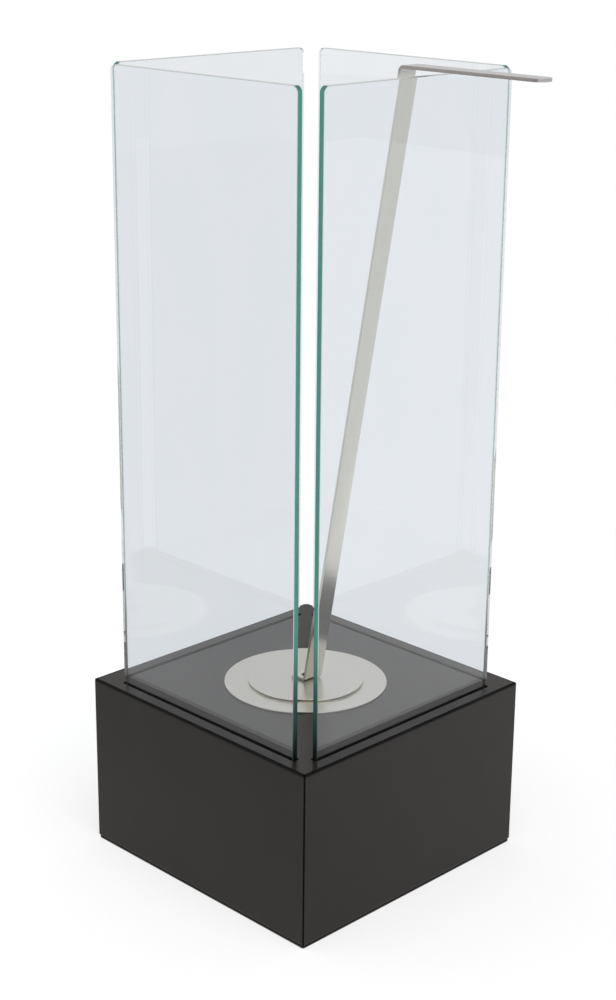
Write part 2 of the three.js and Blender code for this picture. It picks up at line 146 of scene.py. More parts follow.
def pick(piece, kind, wanted):
    """In edit mode, selects the vertices, edges or faces that pass a test."""
    bpy.ops.mesh.select_mode(type=kind)
    bpy.ops.mesh.select_all(action="DESELECT")
    mesh = bmesh.from_edit_mesh(piece.data)
    every = {"VERT": mesh.verts, "EDGE": mesh.edges, "FACE": mesh.faces}[kind]
    for item in every:
        if wanted(item):
            item.select_set(True)
    mesh.select_flush_mode()
    bmesh.update_edit_mesh(piece.data)


def round_edges(piece, wanted, setback, steps):
    """Bevels the edges that pass a test, by a distance in millimetres."""
    with editing(piece):
        pick(piece, "EDGE", wanted)
        bpy.ops.mesh.bevel(offset=setback * MM, segments=steps, affect="EDGES")


# %% [markdown]
# ### Modifiers, holes and joined solids
#
# A modifier can stay open, so that its settings can be changed later. Here each one is
# applied at once, because the next step works on the faces that it made. A hole is cut
# as in a workshop: a solid of the shape of the drill or punch is put in its place, and
# a Boolean takes it out of the piece. The outline of the hole could also be drawn into
# the faces by hand, which is a lot of work where a hole crosses a fold or a bevel.

# %% Modifiers, holes and joined solids
OVERCUT = 1.0  # how far a cutter reaches past the piece, in millimetres


def modify(piece, kind, **settings):
    """Adds a modifier, sets it and applies it."""
    take(piece)
    modifier = piece.modifiers.new(kind.title(), kind)
    for setting, value in settings.items():
        setattr(modifier, setting, value)
    bpy.ops.object.modifier_apply(modifier=modifier.name)


def combine(piece, other, operation="DIFFERENCE"):
    """Cuts another solid out of a piece, or joins it on, and deletes the other."""
    modify(piece, "BOOLEAN", object=other, operation=operation, solver="EXACT")
    bpy.data.objects.remove(other)


def copy_of(piece):
    """A copy with a mesh of its own."""
    take(piece)
    bpy.ops.object.duplicate(linked=False)
    return bpy.context.object


def joined(pieces):
    """Several separate solids as one object."""
    take(pieces[0])
    for piece in pieces:
        piece.select_set(True)
    bpy.ops.object.join()
    return bpy.context.object


# %% [markdown]
# ## Starting shapes
#
# Four ways of starting cover the whole fireplace: a block, a rod, a strip of sheet and
# a turned piece. Each is close to how the real piece is cut or formed, so its edges and
# bends come out where the real ones are.
#
# ### Block and rod
#
# A block is a cube with its upright edges rounded, for plates, slots and panes. A rod
# is a cylinder, for studs and for the cutters of round holes.

# %% Block and rod
def block(low, high, corner=0.0, corner_steps=6):
    """A block between two corners, in millimetres, its upright edges rounded."""
    low, high = Vector(low), Vector(high)
    bpy.ops.mesh.primitive_cube_add(size=1, location=(low + high) / 2 * MM)
    piece = bpy.context.object
    piece.scale = (high - low) * MM
    settle(piece)
    if corner:
        round_edges(piece, lambda edge: runs_along(edge, 2), corner, corner_steps)
    return piece


def rod(radius, bottom, top, x=0.0, y=0.0, sides=32):
    """An upright cylinder, in millimetres."""
    bpy.ops.mesh.primitive_cylinder_add(
        vertices=sides,
        radius=radius * MM,
        depth=(top - bottom) * MM,
        location=mm(x, y, (bottom + top) / 2),
    )
    return settle(bpy.context.object)


# %% [markdown]
# ### Strip of sheet
#
# Sheet steel is cut flat and bent afterwards, and a strip goes the same way. A plane
# gets one leg after another by extruding its end, a bevel along each fold gives the
# bend its radius, and Solidify then gives the sheet its thickness. Carving the shape
# from a block would need an inner and an outer bevel that match at every fold.

# %% Strip of sheet
def strip(path, half_width):
    """A strip as wide along X as twice half_width, with a leg for each step of a path.

    The path is a list of (y, z) points, in millimetres.
    """
    points = [mm(0, y, z) for y, z in path]
    leg = points[1] - points[0]
    bpy.ops.mesh.primitive_plane_add(size=1, location=(points[0] + points[1]) / 2)
    piece = bpy.context.object
    piece.rotation_euler.x = math.atan2(leg.z, leg.y)
    piece.scale = (2 * half_width * MM, leg.length, 1)
    settle(piece)
    with editing(piece):
        for here, there in zip(points[1:], points[2:]):
            pick(piece, "EDGE", lambda edge: is_at(edge, here))
            bpy.ops.mesh.extrude_region_move(TRANSFORM_OT_translate={"value": there - here})
    return piece


def fold(piece, path, radii, steps=6):
    """Rounds each fold of a strip: radii are for the surface that was drawn."""
    points = [mm(0, y, z) for y, z in path]
    for before, here, after, radius in zip(points, points[1:], points[2:], radii):
        turn = (here - before).angle(after - here)
        round_edges(piece, lambda edge: is_at(edge, here), radius * math.tan(turn / 2), steps)


def thicken(piece, thickness, side):
    """Gives a strip its thickness, in millimetres.

    The side is 1 to the left of the path, seen with Y to the right and Z up, -1 to its
    right, and 0 for half on each side.
    """
    modify(piece, "SOLIDIFY", thickness=thickness * MM, offset=side, use_even_offset=True)


# %% [markdown]
# ### Turned piece
#
# On a lathe only one half of the section counts, because the piece goes round. A vertex
# is extruded along that profile and spun through a full turn. Where the turn closes,
# and on the axis, points that fall together are merged, so that the skin is closed. A
# stack of cylinders would do for the plain shape, but not for its rounded edges.

# %% Turned piece
def arc(radius, height, bend, start, end, steps=5):
    """Profile points of a rounded corner, its angles in degrees."""
    points = []
    for step in range(steps + 1):
        angle = math.radians(start + (end - start) * step / steps)
        points.append((radius + bend * math.cos(angle), height + bend * math.sin(angle)))
    return points


def turned(profile, sides=128, x=0.0, y=0.0):
    """A profile of (radius, height) points, in millimetres, spun about an axis."""
    first = profile[0]
    bpy.ops.mesh.primitive_plane_add(size=MM, location=mm(x + first[0], y, first[1]))
    piece = settle(bpy.context.object)
    with editing(piece):
        bpy.ops.mesh.select_mode(type="VERT")
        bpy.ops.mesh.select_all(action="SELECT")
        bpy.ops.mesh.merge(type="CENTER")
        for here, there in zip(profile, profile[1:]):
            step = mm(there[0] - here[0], 0, there[1] - here[1])
            bpy.ops.mesh.extrude_region_move(TRANSFORM_OT_translate={"value": step})
        bpy.ops.mesh.select_all(action="SELECT")
        bpy.ops.mesh.spin(steps=sides, angle=math.tau, center=mm(x, y, 0), axis=(0, 0, 1))
        bpy.ops.mesh.select_all(action="SELECT")
        bpy.ops.mesh.remove_doubles(threshold=MERGE)
        bpy.ops.mesh.normals_make_consistent(inside=False)
    return piece


# %% [markdown]
# ## Finishing a piece
#
# No real edge is perfectly sharp, and a thin bevel catches the light as one does. The
# shading is smooth across small angles only, and weighted normals keep the large flat
# faces flat beside their bevels; a subdivision surface would round the flat faces too.
# A finished piece then gets its finish, rides on the body that carries it, and stands
# for the plain solid in its place.

# %% Finishing
def soften(piece, width, steps=2, angle=40):
    """Bevels every edge sharper than an angle, in millimetres and degrees."""
    modify(
        piece,
        "BEVEL",
        width=width * MM,
        segments=steps,
        limit_method="ANGLE",
        angle_limit=math.radians(angle),
    )


def smooth(piece, angle=35):
    """Smooth shading over small angles, with flat faces kept flat."""
    take(piece)
    bpy.ops.object.shade_smooth_by_angle(angle=math.radians(angle))
    modify(piece, "WEIGHTED_NORMAL", keep_sharp=True)


def dress(piece, name, node, body, slot, *finishes):
    """Names a piece, gives it its finish and its body, and hides the plain solid."""
    piece.name = piece.data.name = name
    piece.data.materials.clear()
    for finish in finishes:
        piece.data.materials.append(finish)
    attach(piece, body)
    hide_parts(node)
    size = " x ".join(f"{side / MM:.1f}" for side in piece.dimensions)
    print(f"{name}: {size} mm, {len(piece.data.polygons)} faces")


def round_the_base(piece, places):
    """The piece and three copies, each a quarter turn further round the base."""
    pieces = [piece] + [copy_of(piece) for _ in places[1:]]
    for turn, turned_piece in enumerate(pieces):
        turned_piece.rotation_euler.z = turn * QUARTER
        settle(turned_piece)
    return dict(zip(places, pieces))


# %% [markdown]
# ## Camera
#
# The camera stands at the photograph's viewing angle: a little above the top of the
# glass, square to the front corner, with a mild tele lens. It could be moved by hand
# until the edges lie right. These numbers come from fitting a camera to the object's
# straight edges, which is more exact and gives the object's proportions as well.

# %% Camera
CAMERA_PLACE = (1.2325, -1.2320, 0.9477)
CAMERA_HEADING, CAMERA_TILT, CAMERA_ROLL = 44.989, -18.376, 0.547  # degrees
CAMERA_LENS = 68.02
LEVEL = 90  # degrees up from straight down, where a new camera looks

bpy.ops.object.camera_add(location=CAMERA_PLACE)
camera = bpy.context.object
camera.name = "camera"
camera.data.lens = CAMERA_LENS
heading = Matrix.Rotation(math.radians(CAMERA_HEADING), 3, "Z")
tilt = Matrix.Rotation(math.radians(LEVEL + CAMERA_TILT), 3, "X")
roll = Matrix.Rotation(math.radians(CAMERA_ROLL), 3, "Z")
camera.rotation_euler = (heading @ tilt @ roll).to_euler()
bpy.context.scene.camera = camera
print("camera at", CAMERA_PLACE, "with a", CAMERA_LENS, "mm lens")

# %% [markdown]
# ## Studio
#
# The object stands on white in front of white. A very bright backdrop would show as
# white too, but its light would wash out the steel. So the backdrop is white only to
# the camera, nearly so to what glass and metal show, and weaker as a light: Light Path
# tells these kinds of ray apart. Glass needs many bounces, since a look through two
# panes crosses four faces, and some light runs to and fro between them.

# %% Studio settings
WHITE_TO_CAMERA = 1.0
WHITE_THROUGH_GLASS = 0.86
WHITE_IN_REFLECTIONS = 0.74
WHITE_AS_LIGHT = 0.55
GLASS_BOUNCES = 24

scene = bpy.context.scene
scene.view_settings.view_transform = "Standard"
scene.cycles.max_bounces = GLASS_BOUNCES
scene.cycles.glossy_bounces = GLASS_BOUNCES
scene.cycles.transmission_bounces = GLASS_BOUNCES
scene.cycles.transparent_max_bounces = GLASS_BOUNCES
print("light goes on for", GLASS_BOUNCES, "bounces")

# %% [markdown]
# ### Wiring nodes
#
# By hand, nodes are added and their sockets joined with wires. The functions below each
# add one node and return its output, so that a finish reads like a formula and what
# repeats is written once.

# %% Wiring nodes
def add_node(tree, kind, **values):
    """A node with some of its inputs set by name."""
    node = tree.nodes.new(kind)
    for name, value in values.items():
        node.inputs[name.replace("_", " ")].default_value = value
    return node


def feed(tree, value, socket):
    """Links a socket to another node's output, or sets it to a plain value."""
    if isinstance(value, bpy.types.NodeSocket):
        tree.links.new(value, socket)
    else:
        socket.default_value = value


def calculate(tree, operation, first, second=0.0):
    """One Math node."""
    node = tree.nodes.new("ShaderNodeMath")
    node.operation = operation
    feed(tree, first, node.inputs[0])
    feed(tree, second, node.inputs[1])
    return node.outputs["Value"]


def map_range(tree, value, start, end, to_start=0.0, to_end=1.0, soft=False):
    """A value's range from start to end laid over another range, and clamped at its ends."""
    node = add_node(
        tree,
        "ShaderNodeMapRange",
        From_Min=start,
        From_Max=end,
        To_Min=to_start,
        To_Max=to_end,
    )
    node.interpolation_type = "SMOOTHSTEP" if soft else "LINEAR"
    tree.links.new(value, node.inputs["Value"])
    return node.outputs["Result"]


def mix(tree, kind, factor, first, second):
    """A mix of two numbers (FLOAT) or colours (RGBA): the second where the factor is 1."""
    node = tree.nodes.new("ShaderNodeMix")
    node.data_type = kind
    tree.links.new(factor, node.inputs["Factor"])
    feed(tree, first, node.inputs["A"])
    feed(tree, second, node.inputs["B"])
    return node.outputs["Result"]


def mix_shaders(tree, factor, first, second):
    """A mix of two shaders: the second where the factor is 1."""
    node = tree.nodes.new("ShaderNodeMixShader")
    for value, socket in zip((factor, first, second), node.inputs):
        tree.links.new(value, socket)
    return node.outputs[0]


# %% [markdown]
# ### Places and rays
#
# A pattern needs to know where on the object a point lies, and the studio needs to know
# what kind of ray is asking. Object coordinates give the place in metres from the
# object's origin. Generated coordinates would stretch with each piece's size instead.

# %% Places and rays
def place_on_object(tree):
    """Where a point lies, in metres from the origin."""
    return tree.nodes.new("ShaderNodeTexCoord").outputs["Object"]


def axis(tree, number):
    """Distance along X, Y or Z from the origin: 0, 1 or 2."""
    split = tree.nodes.new("ShaderNodeSeparateXYZ")
    tree.links.new(place_on_object(tree), split.inputs[0])
    return split.outputs[number]


def seen_from_inside(tree):
    """1 where a ray reaches a face from behind, and 0 elsewhere."""
    return tree.nodes.new("ShaderNodeNewGeometry").outputs["Backfacing"]


def ray_is(tree, kind):
    """1 for one kind of ray, and 0 for the others."""
    return tree.nodes.new("ShaderNodeLightPath").outputs[f"Is {kind} Ray"]


def by_ray(tree, to_camera, through_glass, in_reflections, otherwise):
    """A number that depends on the kind of ray."""
    number = mix(tree, "FLOAT", ray_is(tree, "Glossy"), otherwise, in_reflections)
    number = mix(tree, "FLOAT", ray_is(tree, "Transmission"), number, through_glass)
    return mix(tree, "FLOAT", ray_is(tree, "Camera"), number, to_camera)


# %% [markdown]
# ### Sky and lamps
#
# Two wide, soft lamps and an even sky light the object at a plain level, at which a
# white card would just be white. Area lamps would do as well, but a sun lamp's light
# is the same at every distance, so the object looks the same wherever it stands.

# %% Sky and lamps
world = bpy.data.worlds.new("white_backdrop")
world.use_nodes = True
scene.world = world
sky = world.node_tree.nodes["Background"]
sky.inputs["Color"].default_value = (1, 1, 1, 1)
level = by_ray(
    world.node_tree,
    WHITE_TO_CAMERA,
    WHITE_THROUGH_GLASS,
    WHITE_IN_REFLECTIONS,
    WHITE_AS_LIGHT,
)
world.node_tree.links.new(level, sky.inputs["Strength"])

LAMPS = {
    # name: strength, breadth in degrees, and where it shines from
    "key_light": (1.25, 60, (1.0, -0.35, 1.3)),
    "fill_light": (0.55, 90, (-0.9, -1.0, 1.1)),
}
for name, (strength, breadth, place) in LAMPS.items():
    bpy.ops.object.light_add(type="SUN", location=place)
    lamp = bpy.context.object
    lamp.name = name
    lamp.data.energy = strength
    lamp.data.angle = math.radians(breadth)
    lamp.rotation_euler = Vector(place).to_track_quat("Z", "Y").to_euler()
print("lamps:", ", ".join(LAMPS))

# %% [markdown]
# ### Floor
#
# A white sheet lies under the object. It is a real surface, because an object without
# a shadow under it seems to float. It lies a hair below the base, so that the two
# don't share a plane.

# %% Floor
FLOOR_SIZE = 8.0
FLOOR_DROP = 0.3 * MM  # the base stands this far above it

bpy.ops.mesh.primitive_plane_add(size=FLOOR_SIZE, location=(0, 0, -FLOOR_DROP))
floor = settle(bpy.context.object)
floor.name = "studio_floor"
print("floor:", FLOOR_SIZE, "m wide")

# %% [markdown]
# ### Finish of the floor
#
# Near the object the floor is matt and takes a soft shadow, which a glow of its own
# keeps light. Further out it fades into the backdrop, so that no horizon shows. Its
# underside is clear, so that the object can be looked at from below. A curved studio
# sweep would do the same, but it would stand in the way of a view from behind.
#
# Glass and steel show the floor a little darker towards the left, which gives their
# left sides some shape, as the unlit side of a studio does.

# %% Finish of the floor
FLOOR_WHITE = 0.45
FLOOR_GLOW = 0.6
FLOOR_GLOW_THROUGH_GLASS = 0.43
FLOOR_DARK_SIDE, FLOOR_BRIGHT_SIDE = 0.08, 0.8  # the same in reflections
DARK_FROM, BRIGHT_FROM = -1.5, 1.0  # where those lie, in metres to the right
TO_THE_RIGHT = (0.7, 0.7, 0)
FADE_START, FADE_END = 0.45, 1.1  # metres from the middle


def measure(tree, operation, place, other=(0, 0, 0)):
    """A number from a place, with one Vector Math node."""
    node = tree.nodes.new("ShaderNodeVectorMath")
    node.operation = operation
    node.inputs[1].default_value = other
    tree.links.new(place, node.inputs[0])
    return node.outputs["Value"]


def glowing(tree, strength):
    """A white glow."""
    glow = tree.nodes.new("ShaderNodeEmission")
    tree.links.new(strength, glow.inputs["Strength"])
    return glow.outputs[0]


def floor_finish():
    """White, with the object's shadow near it, and fading into the backdrop."""
    finish = bpy.data.materials.new("floor_white")
    finish.use_nodes = True
    tree = finish.node_tree
    tree.nodes.clear()
    place = place_on_object(tree)
    sideways = measure(tree, "DOT_PRODUCT", place, TO_THE_RIGHT)
    reflected = map_range(
        tree, sideways, DARK_FROM, BRIGHT_FROM, FLOOR_DARK_SIDE, FLOOR_BRIGHT_SIDE
    )
    white = (FLOOR_WHITE, FLOOR_WHITE, FLOOR_WHITE, 1)
    matt = add_node(tree, "ShaderNodeBsdfDiffuse", Color=white)
    lift = by_ray(tree, FLOOR_GLOW, FLOOR_GLOW_THROUGH_GLASS, reflected, 0.0)
    near = tree.nodes.new("ShaderNodeAddShader")
    tree.links.new(matt.outputs[0], near.inputs[0])
    tree.links.new(glowing(tree, lift), near.inputs[1])
    backdrop = by_ray(
        tree,
        WHITE_TO_CAMERA,
        WHITE_THROUGH_GLASS,
        calculate(tree, "ADD", reflected, FLOOR_WHITE),
        WHITE_AS_LIGHT,
    )
    distance = measure(tree, "LENGTH", place)
    fade = map_range(tree, distance, FADE_START, FADE_END, soft=True)
    top = mix_shaders(tree, fade, near.outputs[0], glowing(tree, backdrop))
    clear = tree.nodes.new("ShaderNodeBsdfTransparent")
    both = mix_shaders(tree, seen_from_inside(tree), top, clear.outputs[0])
    output = tree.nodes.new("ShaderNodeOutputMaterial")
    tree.links.new(both, output.inputs["Surface"])
    return finish


floor.data.materials.append(floor_finish())
print("the floor fades from", FADE_START, "m to", FADE_END, "m")

# %% [markdown]
# ## Finishes
#
# Every finish starts from a Principled shader. Its colour, roughness and relief come
# from patterns on Object coordinates, at the size that the real surface has them. An
# image of each surface would work too, but it needs a file and an unwrapped mesh, and
# it shows its pixels up close. The helpers below each add one pattern.

# %% Patterns
NOISE_LOW, NOISE_HIGH = 0.3, 0.7  # nearly all of a noise pattern lies between these


def paint(code):
    """A colour written as in a paint program, put through the sRGB curve."""
    values = [int(code[i : i + 2], 16) / 255 for i in (1, 3, 5)]
    linear = [v / 12.92 if v <= 0.04045 else ((v + 0.055) / 1.055) ** 2.4 for v in values]
    return (*linear, 1)


def start_finish(name, **sockets):
    """A new material, with some of its Principled shader's inputs set by name."""
    finish = bpy.data.materials.new(name)
    finish.use_nodes = True
    shader = finish.node_tree.nodes["Principled BSDF"]
    for socket, value in sockets.items():
        shader.inputs[socket.replace("_", " ")].default_value = value
    print("finish:", name)
    return finish, finish.node_tree, shader


def grain(tree, size, stretch=(1, 1, 1), detail=2.0):
    """Noise whose spots are about size millimetres across, drawn out along an axis."""
    scale = tree.nodes.new("ShaderNodeMapping")
    scale.inputs["Scale"].default_value = [1 / s for s in stretch]
    noise = add_node(tree, "ShaderNodeTexNoise", Scale=1 / (size * MM), Detail=detail)
    tree.links.new(place_on_object(tree), scale.inputs["Vector"])
    tree.links.new(scale.outputs["Vector"], noise.inputs["Vector"])
    return noise.outputs["Fac"]


def between(tree, pattern, low, high):
    """A pattern turned into a number that runs from low to high."""
    return map_range(tree, pattern, NOISE_LOW, NOISE_HIGH, low, high)


def colours(tree, pattern, first, second):
    """A pattern turned into a mix of two colours."""
    ramp = tree.nodes.new("ShaderNodeValToRGB")
    stops = ramp.color_ramp.elements
    for stop, position, code in zip(stops, (NOISE_LOW, NOISE_HIGH), (first, second)):
        stop.position = position
        stop.color = paint(code)
    tree.links.new(pattern, ramp.inputs["Fac"])
    return ramp.outputs["Color"]


def relief(tree, shader, pattern, height, strength=1.0):
    """A pattern as raised and sunken spots, its height in millimetres."""
    bump = add_node(tree, "ShaderNodeBump", Strength=strength, Distance=height * MM)
    tree.links.new(pattern, bump.inputs["Height"])
    tree.links.new(bump.outputs["Normal"], shader.inputs["Normal"])


def rising(tree, value, start, end):
    """0 up to one place and 1 from another, in millimetres, with a soft step between."""
    return map_range(tree, value, start * MM, end * MM, soft=True)


# %% [markdown]
# ### Black coat
#
# The box is powder coated: paint dust, baked on until it flows. That leaves a satin
# skin with a faint orange-peel relief, and a fine unevenness where the dust melted. A
# low specular level gives the dark satin of the sides, while the top still mirrors the
# backdrop at a low angle. With a rougher skin instead, the top would mirror nothing.

# %% Black coat
# EDGE_SHINE and EDGE_COLOUR are the painted shade at the panels' edges and the plate's walls
COAT_SHINE, EDGE_SHINE = 0.235, 0.07
COAT_COLOURS, EDGE_COLOUR = ("#1e1916", "#221d1a"), "#0b0a0a"
DUST, ORANGE_PEEL, CLOUDS = 0.5, 4, 60  # sizes of its unevenness, in millimetres


def black_coat(name, coat_shade=None):
    """The coat; the mask function, when given, says from 0 to 1 where shade is painted in, darker
    and duller.
    """
    finish, tree, shader = start_finish(name, Specular_IOR_Level=COAT_SHINE)
    coat = colours(tree, grain(tree, CLOUDS), *COAT_COLOURS)
    satin = between(tree, grain(tree, DUST), low=0.29, high=0.31)
    tree.links.new(satin, shader.inputs["Roughness"])
    relief(tree, shader, grain(tree, ORANGE_PEEL), height=0.001, strength=0.03)
    # Painted shade: darker and duller where the mask is 1
    if coat_shade:
        where = coat_shade(tree)
        coat = mix(tree, "RGBA", where, coat, paint(EDGE_COLOUR))
        shine = map_range(tree, where, 0, 1, COAT_SHINE, EDGE_SHINE)
        tree.links.new(shine, shader.inputs["Specular IOR Level"])
    tree.links.new(coat, shader.inputs["Base Color"])
    return finish


# %% [markdown]
# ### Painted shade at the edges
#
# Shade is painted into the coat. The panels turn darker and duller over the last millimetres below
# the top and beside the corner seams, where the rounded edges and the seams fall into shade, and
# every wall of the top plate below its upper surface, the cut walls of the slots among them, is
# painted dark as well.
# The places are worked out from X, Y and Z. They could be painted on the vertices, but
# large flat faces have vertices only at their corners.

# %% Painted shade at the edges
SHADE_BY_CORNER = (148.2, 149.2)  # from where to where, in millimetres from the middle
SHADE_BELOW_TOP = (174.0, 177.2)  # heights
PLATE_FACE = (177.7, 177.9)  # heights between which the plate's walls end


def panel_edges(tree):
    """The top of a panel, and the corners, where both X and Y are far out: where shade is painted.
    """
    x, y = (calculate(tree, "ABSOLUTE", axis(tree, number)) for number in (0, 1))
    corner = rising(tree, calculate(tree, "MINIMUM", x, y), *SHADE_BY_CORNER)
    return calculate(tree, "MAXIMUM", corner, rising(tree, axis(tree, 2), *SHADE_BELOW_TOP))


def plate_walls(tree):
    """Everything on the top plate but its upper surface, painted dark as shade."""
    return calculate(tree, "SUBTRACT", 1.0, rising(tree, axis(tree, 2), *PLATE_FACE))


BLACK_COAT = black_coat("black_coat")
SHADED_PANEL_COAT = black_coat("panel_coat_painted_shade", panel_edges)
SHADED_TOP_COAT = black_coat("top_coat_painted_shade", plate_walls)

# %% [markdown]
# ### Stainless steel
#
# Burner, lid and tool are stainless steel with a fine satin grain, drawn in one
# direction by a belt. Anisotropic gloss would stretch the highlights, but not show the
# lines themselves, so noise is drawn out a hundred times and more instead. It runs
# along X and Z and changes quickly across Y: that is along the tool from end to end,
# because the tool is bent in the XZ plane, and straight across the lid and the burner's
# rim. A turned wall has its marks round it, so a second version changes quickly along Z.

# %% Stainless steel
BELT_GRAIN, LATHE_GRAIN = (120, 1, 120), (120, 120, 1)
GRAIN_LINE, GRAIN_BAND = 0.35, 6  # breadths, in millimetres
SATIN, SATIN_SPREAD = 0.275, 0.01


def stainless(name, stretch, roughness, first, second, shade_by=None, shade_colour=None):
    """Satin steel; the optional mask function says, from 0 to 1, where a darker colour is painted
    in as shade.
    """
    finish, tree, shader = start_finish(name, Metallic=1.0)
    lines = grain(tree, GRAIN_LINE, stretch, detail=3)
    steel = colours(tree, grain(tree, GRAIN_BAND, stretch), first, second)
    # Painted shade: a darker colour laid in where the mask asks for it
    if shade_by:
        steel = mix(tree, "RGBA", shade_by(tree), steel, paint(shade_colour))
    tree.links.new(steel, shader.inputs["Base Color"])
    satin = between(tree, lines, roughness, roughness + SATIN_SPREAD)
    tree.links.new(satin, shader.inputs["Roughness"])
    relief(tree, shader, lines, height=0.0004, strength=0.02)
    return finish


STAINLESS = stainless("stainless_satin", BELT_GRAIN, SATIN, "#ccc8bf", "#cecac1")
STAINLESS_TURNED = stainless("stainless_turned", LATHE_GRAIN, SATIN, "#c9c5c0", "#cfcbc6")

# %% [markdown]
# ### Steel of the tool
#
# The tool is rubbed finer than the rest. Its handle is painted a little darker, and the sides of
# the bar darker still there and near the foot, just above the lid: painted shade, for the handle
# and the narrow sides, which catch less light. A darker piece for the handle would end in a line,
# and the shade has none, so the colour changes over a stretch of height.

# %% Steel of the tool
FINE_SATIN, SIDE_SATIN = 0.2, 0.28
HANDLE_STARTS = (780, 788)  # heights between which the shaft turns into the handle
FOOT_SHADE_FADES = (190, 250)  # heights over which the painted shade near the foot fades out


def handle_shade(tree):
    """The handle, where shade is painted."""
    return rising(tree, axis(tree, 2), *HANDLE_STARTS)


def handle_or_foot_shade(tree):
    """The handle, and the lowest part of the shaft, where shade is painted on the bar's sides."""
    above_foot_shade = rising(tree, axis(tree, 2), *FOOT_SHADE_FADES)
    return calculate(tree, "MAXIMUM", handle_shade(tree), calculate(tree, "SUBTRACT", 1.0, above_foot_shade))


# Painted shade: the handle a little darker, and the bar's sides darker on the handle and near the
# foot
STAINLESS_BAR = stainless(
    "stainless_bar", BELT_GRAIN, FINE_SATIN, "#d3d0c6", "#d6d3c9", handle_shade, "#c1bfc0"
)
SHADED_BAR_SIDES = stainless(
    "bar_sides_painted_shade", BELT_GRAIN, SIDE_SATIN, "#c6c3bb", "#c9c6be", handle_or_foot_shade, "#98928e"
)

# %% [markdown]
# ### Zinc and screw steel
#
# The hidden steel is zinc coated, with the flat crystals that zinc grows as it cools. Its colour is
# painted near-black, as the shade that fills the slots and seams in front of it. Noise has soft
# spots only. A pattern of cells has flat fields with sharp borders instead, and gives each crystal
# its own near-black. Screws and nuts are blackened too, and worn.

# %% Zinc and screw steel
CRYSTAL = 7  # across, in millimetres


def zinc_steel():
    """Zinc crystals, painted near-black as shade."""
    finish, tree, shader = start_finish("zinc_steel", Metallic=0.9)
    crystals = add_node(tree, "ShaderNodeTexVoronoi", Scale=1 / (CRYSTAL * MM))
    tree.links.new(place_on_object(tree), crystals.inputs["Vector"])
    shade = tree.nodes.new("ShaderNodeRGBToBW")
    tree.links.new(crystals.outputs["Color"], shade.inputs["Color"])
    grey = shade.outputs["Val"]
    # Painted shade: a near-black, so that the seams and slots show dark
    tree.links.new(colours(tree, grey, "#141516", "#232527"), shader.inputs["Base Color"])
    tree.links.new(between(tree, grey, low=0.34, high=0.5), shader.inputs["Roughness"])
    relief(tree, shader, grain(tree, size=0.8), height=0.003, strength=0.4)
    return finish


def screw_steel():
    """Blackened steel, worn in spots."""
    finish, tree, shader = start_finish("screw_steel", Metallic=0.9)
    worn = grain(tree, size=1.5, detail=4)
    tree.links.new(colours(tree, worn, "#2b2b2f", "#3d3d41"), shader.inputs["Base Color"])
    tree.links.new(between(tree, worn, low=0.34, high=0.5), shader.inputs["Roughness"])
    relief(tree, shader, grain(tree, size=0.3), height=0.004, strength=0.4)
    return finish


ZINC_STEEL, SCREW_STEEL = zinc_steel(), screw_steel()

# %% [markdown]
# ### Silicone and ceramic wool
#
# The glass stands in a matt black silicone strip, slightly dusty. The burner's filling
# is ceramic wool, off-white and fibrous. Single fibres would be thousands of curves for
# a piece that hardly shows, so two layers of noise, drawn out in different directions,
# give the fibres and the tufts, with a strong relief.

# %% Silicone and ceramic wool
FIBRE_STRETCH, TUFT_STRETCH = (9, 1, 3), (1, 3, 1)


def silicone():
    """Matt black rubber with a little dust."""
    finish, tree, shader = start_finish("silicone", Specular_IOR_Level=0.4)
    dust = grain(tree, size=2.5, detail=4)
    tree.links.new(colours(tree, dust, "#121212", "#1b1b1b"), shader.inputs["Base Color"])
    tree.links.new(between(tree, dust, low=0.55, high=0.72), shader.inputs["Roughness"])
    relief(tree, shader, grain(tree, size=0.4), height=0.01, strength=0.4)
    return finish


def ceramic_wool():
    """Off-white fibres in tufts."""
    finish, tree, shader = start_finish("ceramic_wool", Specular_IOR_Level=0.1)
    fibres = grain(tree, 0.6, FIBRE_STRETCH, detail=5)
    tufts = grain(tree, 5, TUFT_STRETCH, detail=4)
    tree.links.new(colours(tree, tufts, "#dcd7cb", "#f1eee6"), shader.inputs["Base Color"])
    tree.links.new(between(tree, fibres, low=0.85, high=1.0), shader.inputs["Roughness"])
    relief(tree, shader, fibres, height=0.25)
    return finish


SILICONE, CERAMIC_WOOL = silicone(), ceramic_wool()

# %% [markdown]
# ### Clear glass
#
# A pane is a closed solid with a Principled shader's transmission, tinted a little and
# with faint smears. Real glass hardly shades what stands behind it. A lamp's rays don't
# pass a face that bends light, though, and the burner would stand in a dark box. So for
# a shadow ray the glass is a clear, faintly tinted film. Caustics would let the light
# through as well, but they are slow and leave grain.

# %% Clear glass
GLASS_IOR = 1.52
PANE_TINT = (0.917, 0.949, 0.956, 1)  # what one pane lets through
SMEAR_SIZE, SMEAR_STRETCH = 45, (1, 1, 2.5)


def let_lamps_through(finish, surface):
    """Makes a surface a clear film for shadow rays."""
    tree = finish.node_tree
    film = add_node(tree, "ShaderNodeBsdfTransparent", Color=PANE_TINT)
    mixed = mix_shaders(tree, ray_is(tree, "Shadow"), surface, film.outputs[0])
    tree.links.new(mixed, tree.nodes["Material Output"].inputs["Surface"])


def glass_body(tree, shader):
    """Makes a Principled shader clear, with faint smears."""
    shader.inputs["Transmission Weight"].default_value = 1.0
    shader.inputs["IOR"].default_value = GLASS_IOR
    shader.inputs["Roughness"].default_value = 0.0
    smears = grain(tree, SMEAR_SIZE, SMEAR_STRETCH, detail=3)
    tree.links.new(colours(tree, smears, "#f6f9fb", "#f8fafd"), shader.inputs["Base Color"])


def clear_glass():
    """The large faces of a pane."""
    finish, tree, shader = start_finish("clear_glass")
    glass_body(tree, shader)
    let_lamps_through(finish, shader.outputs[0])
    return finish


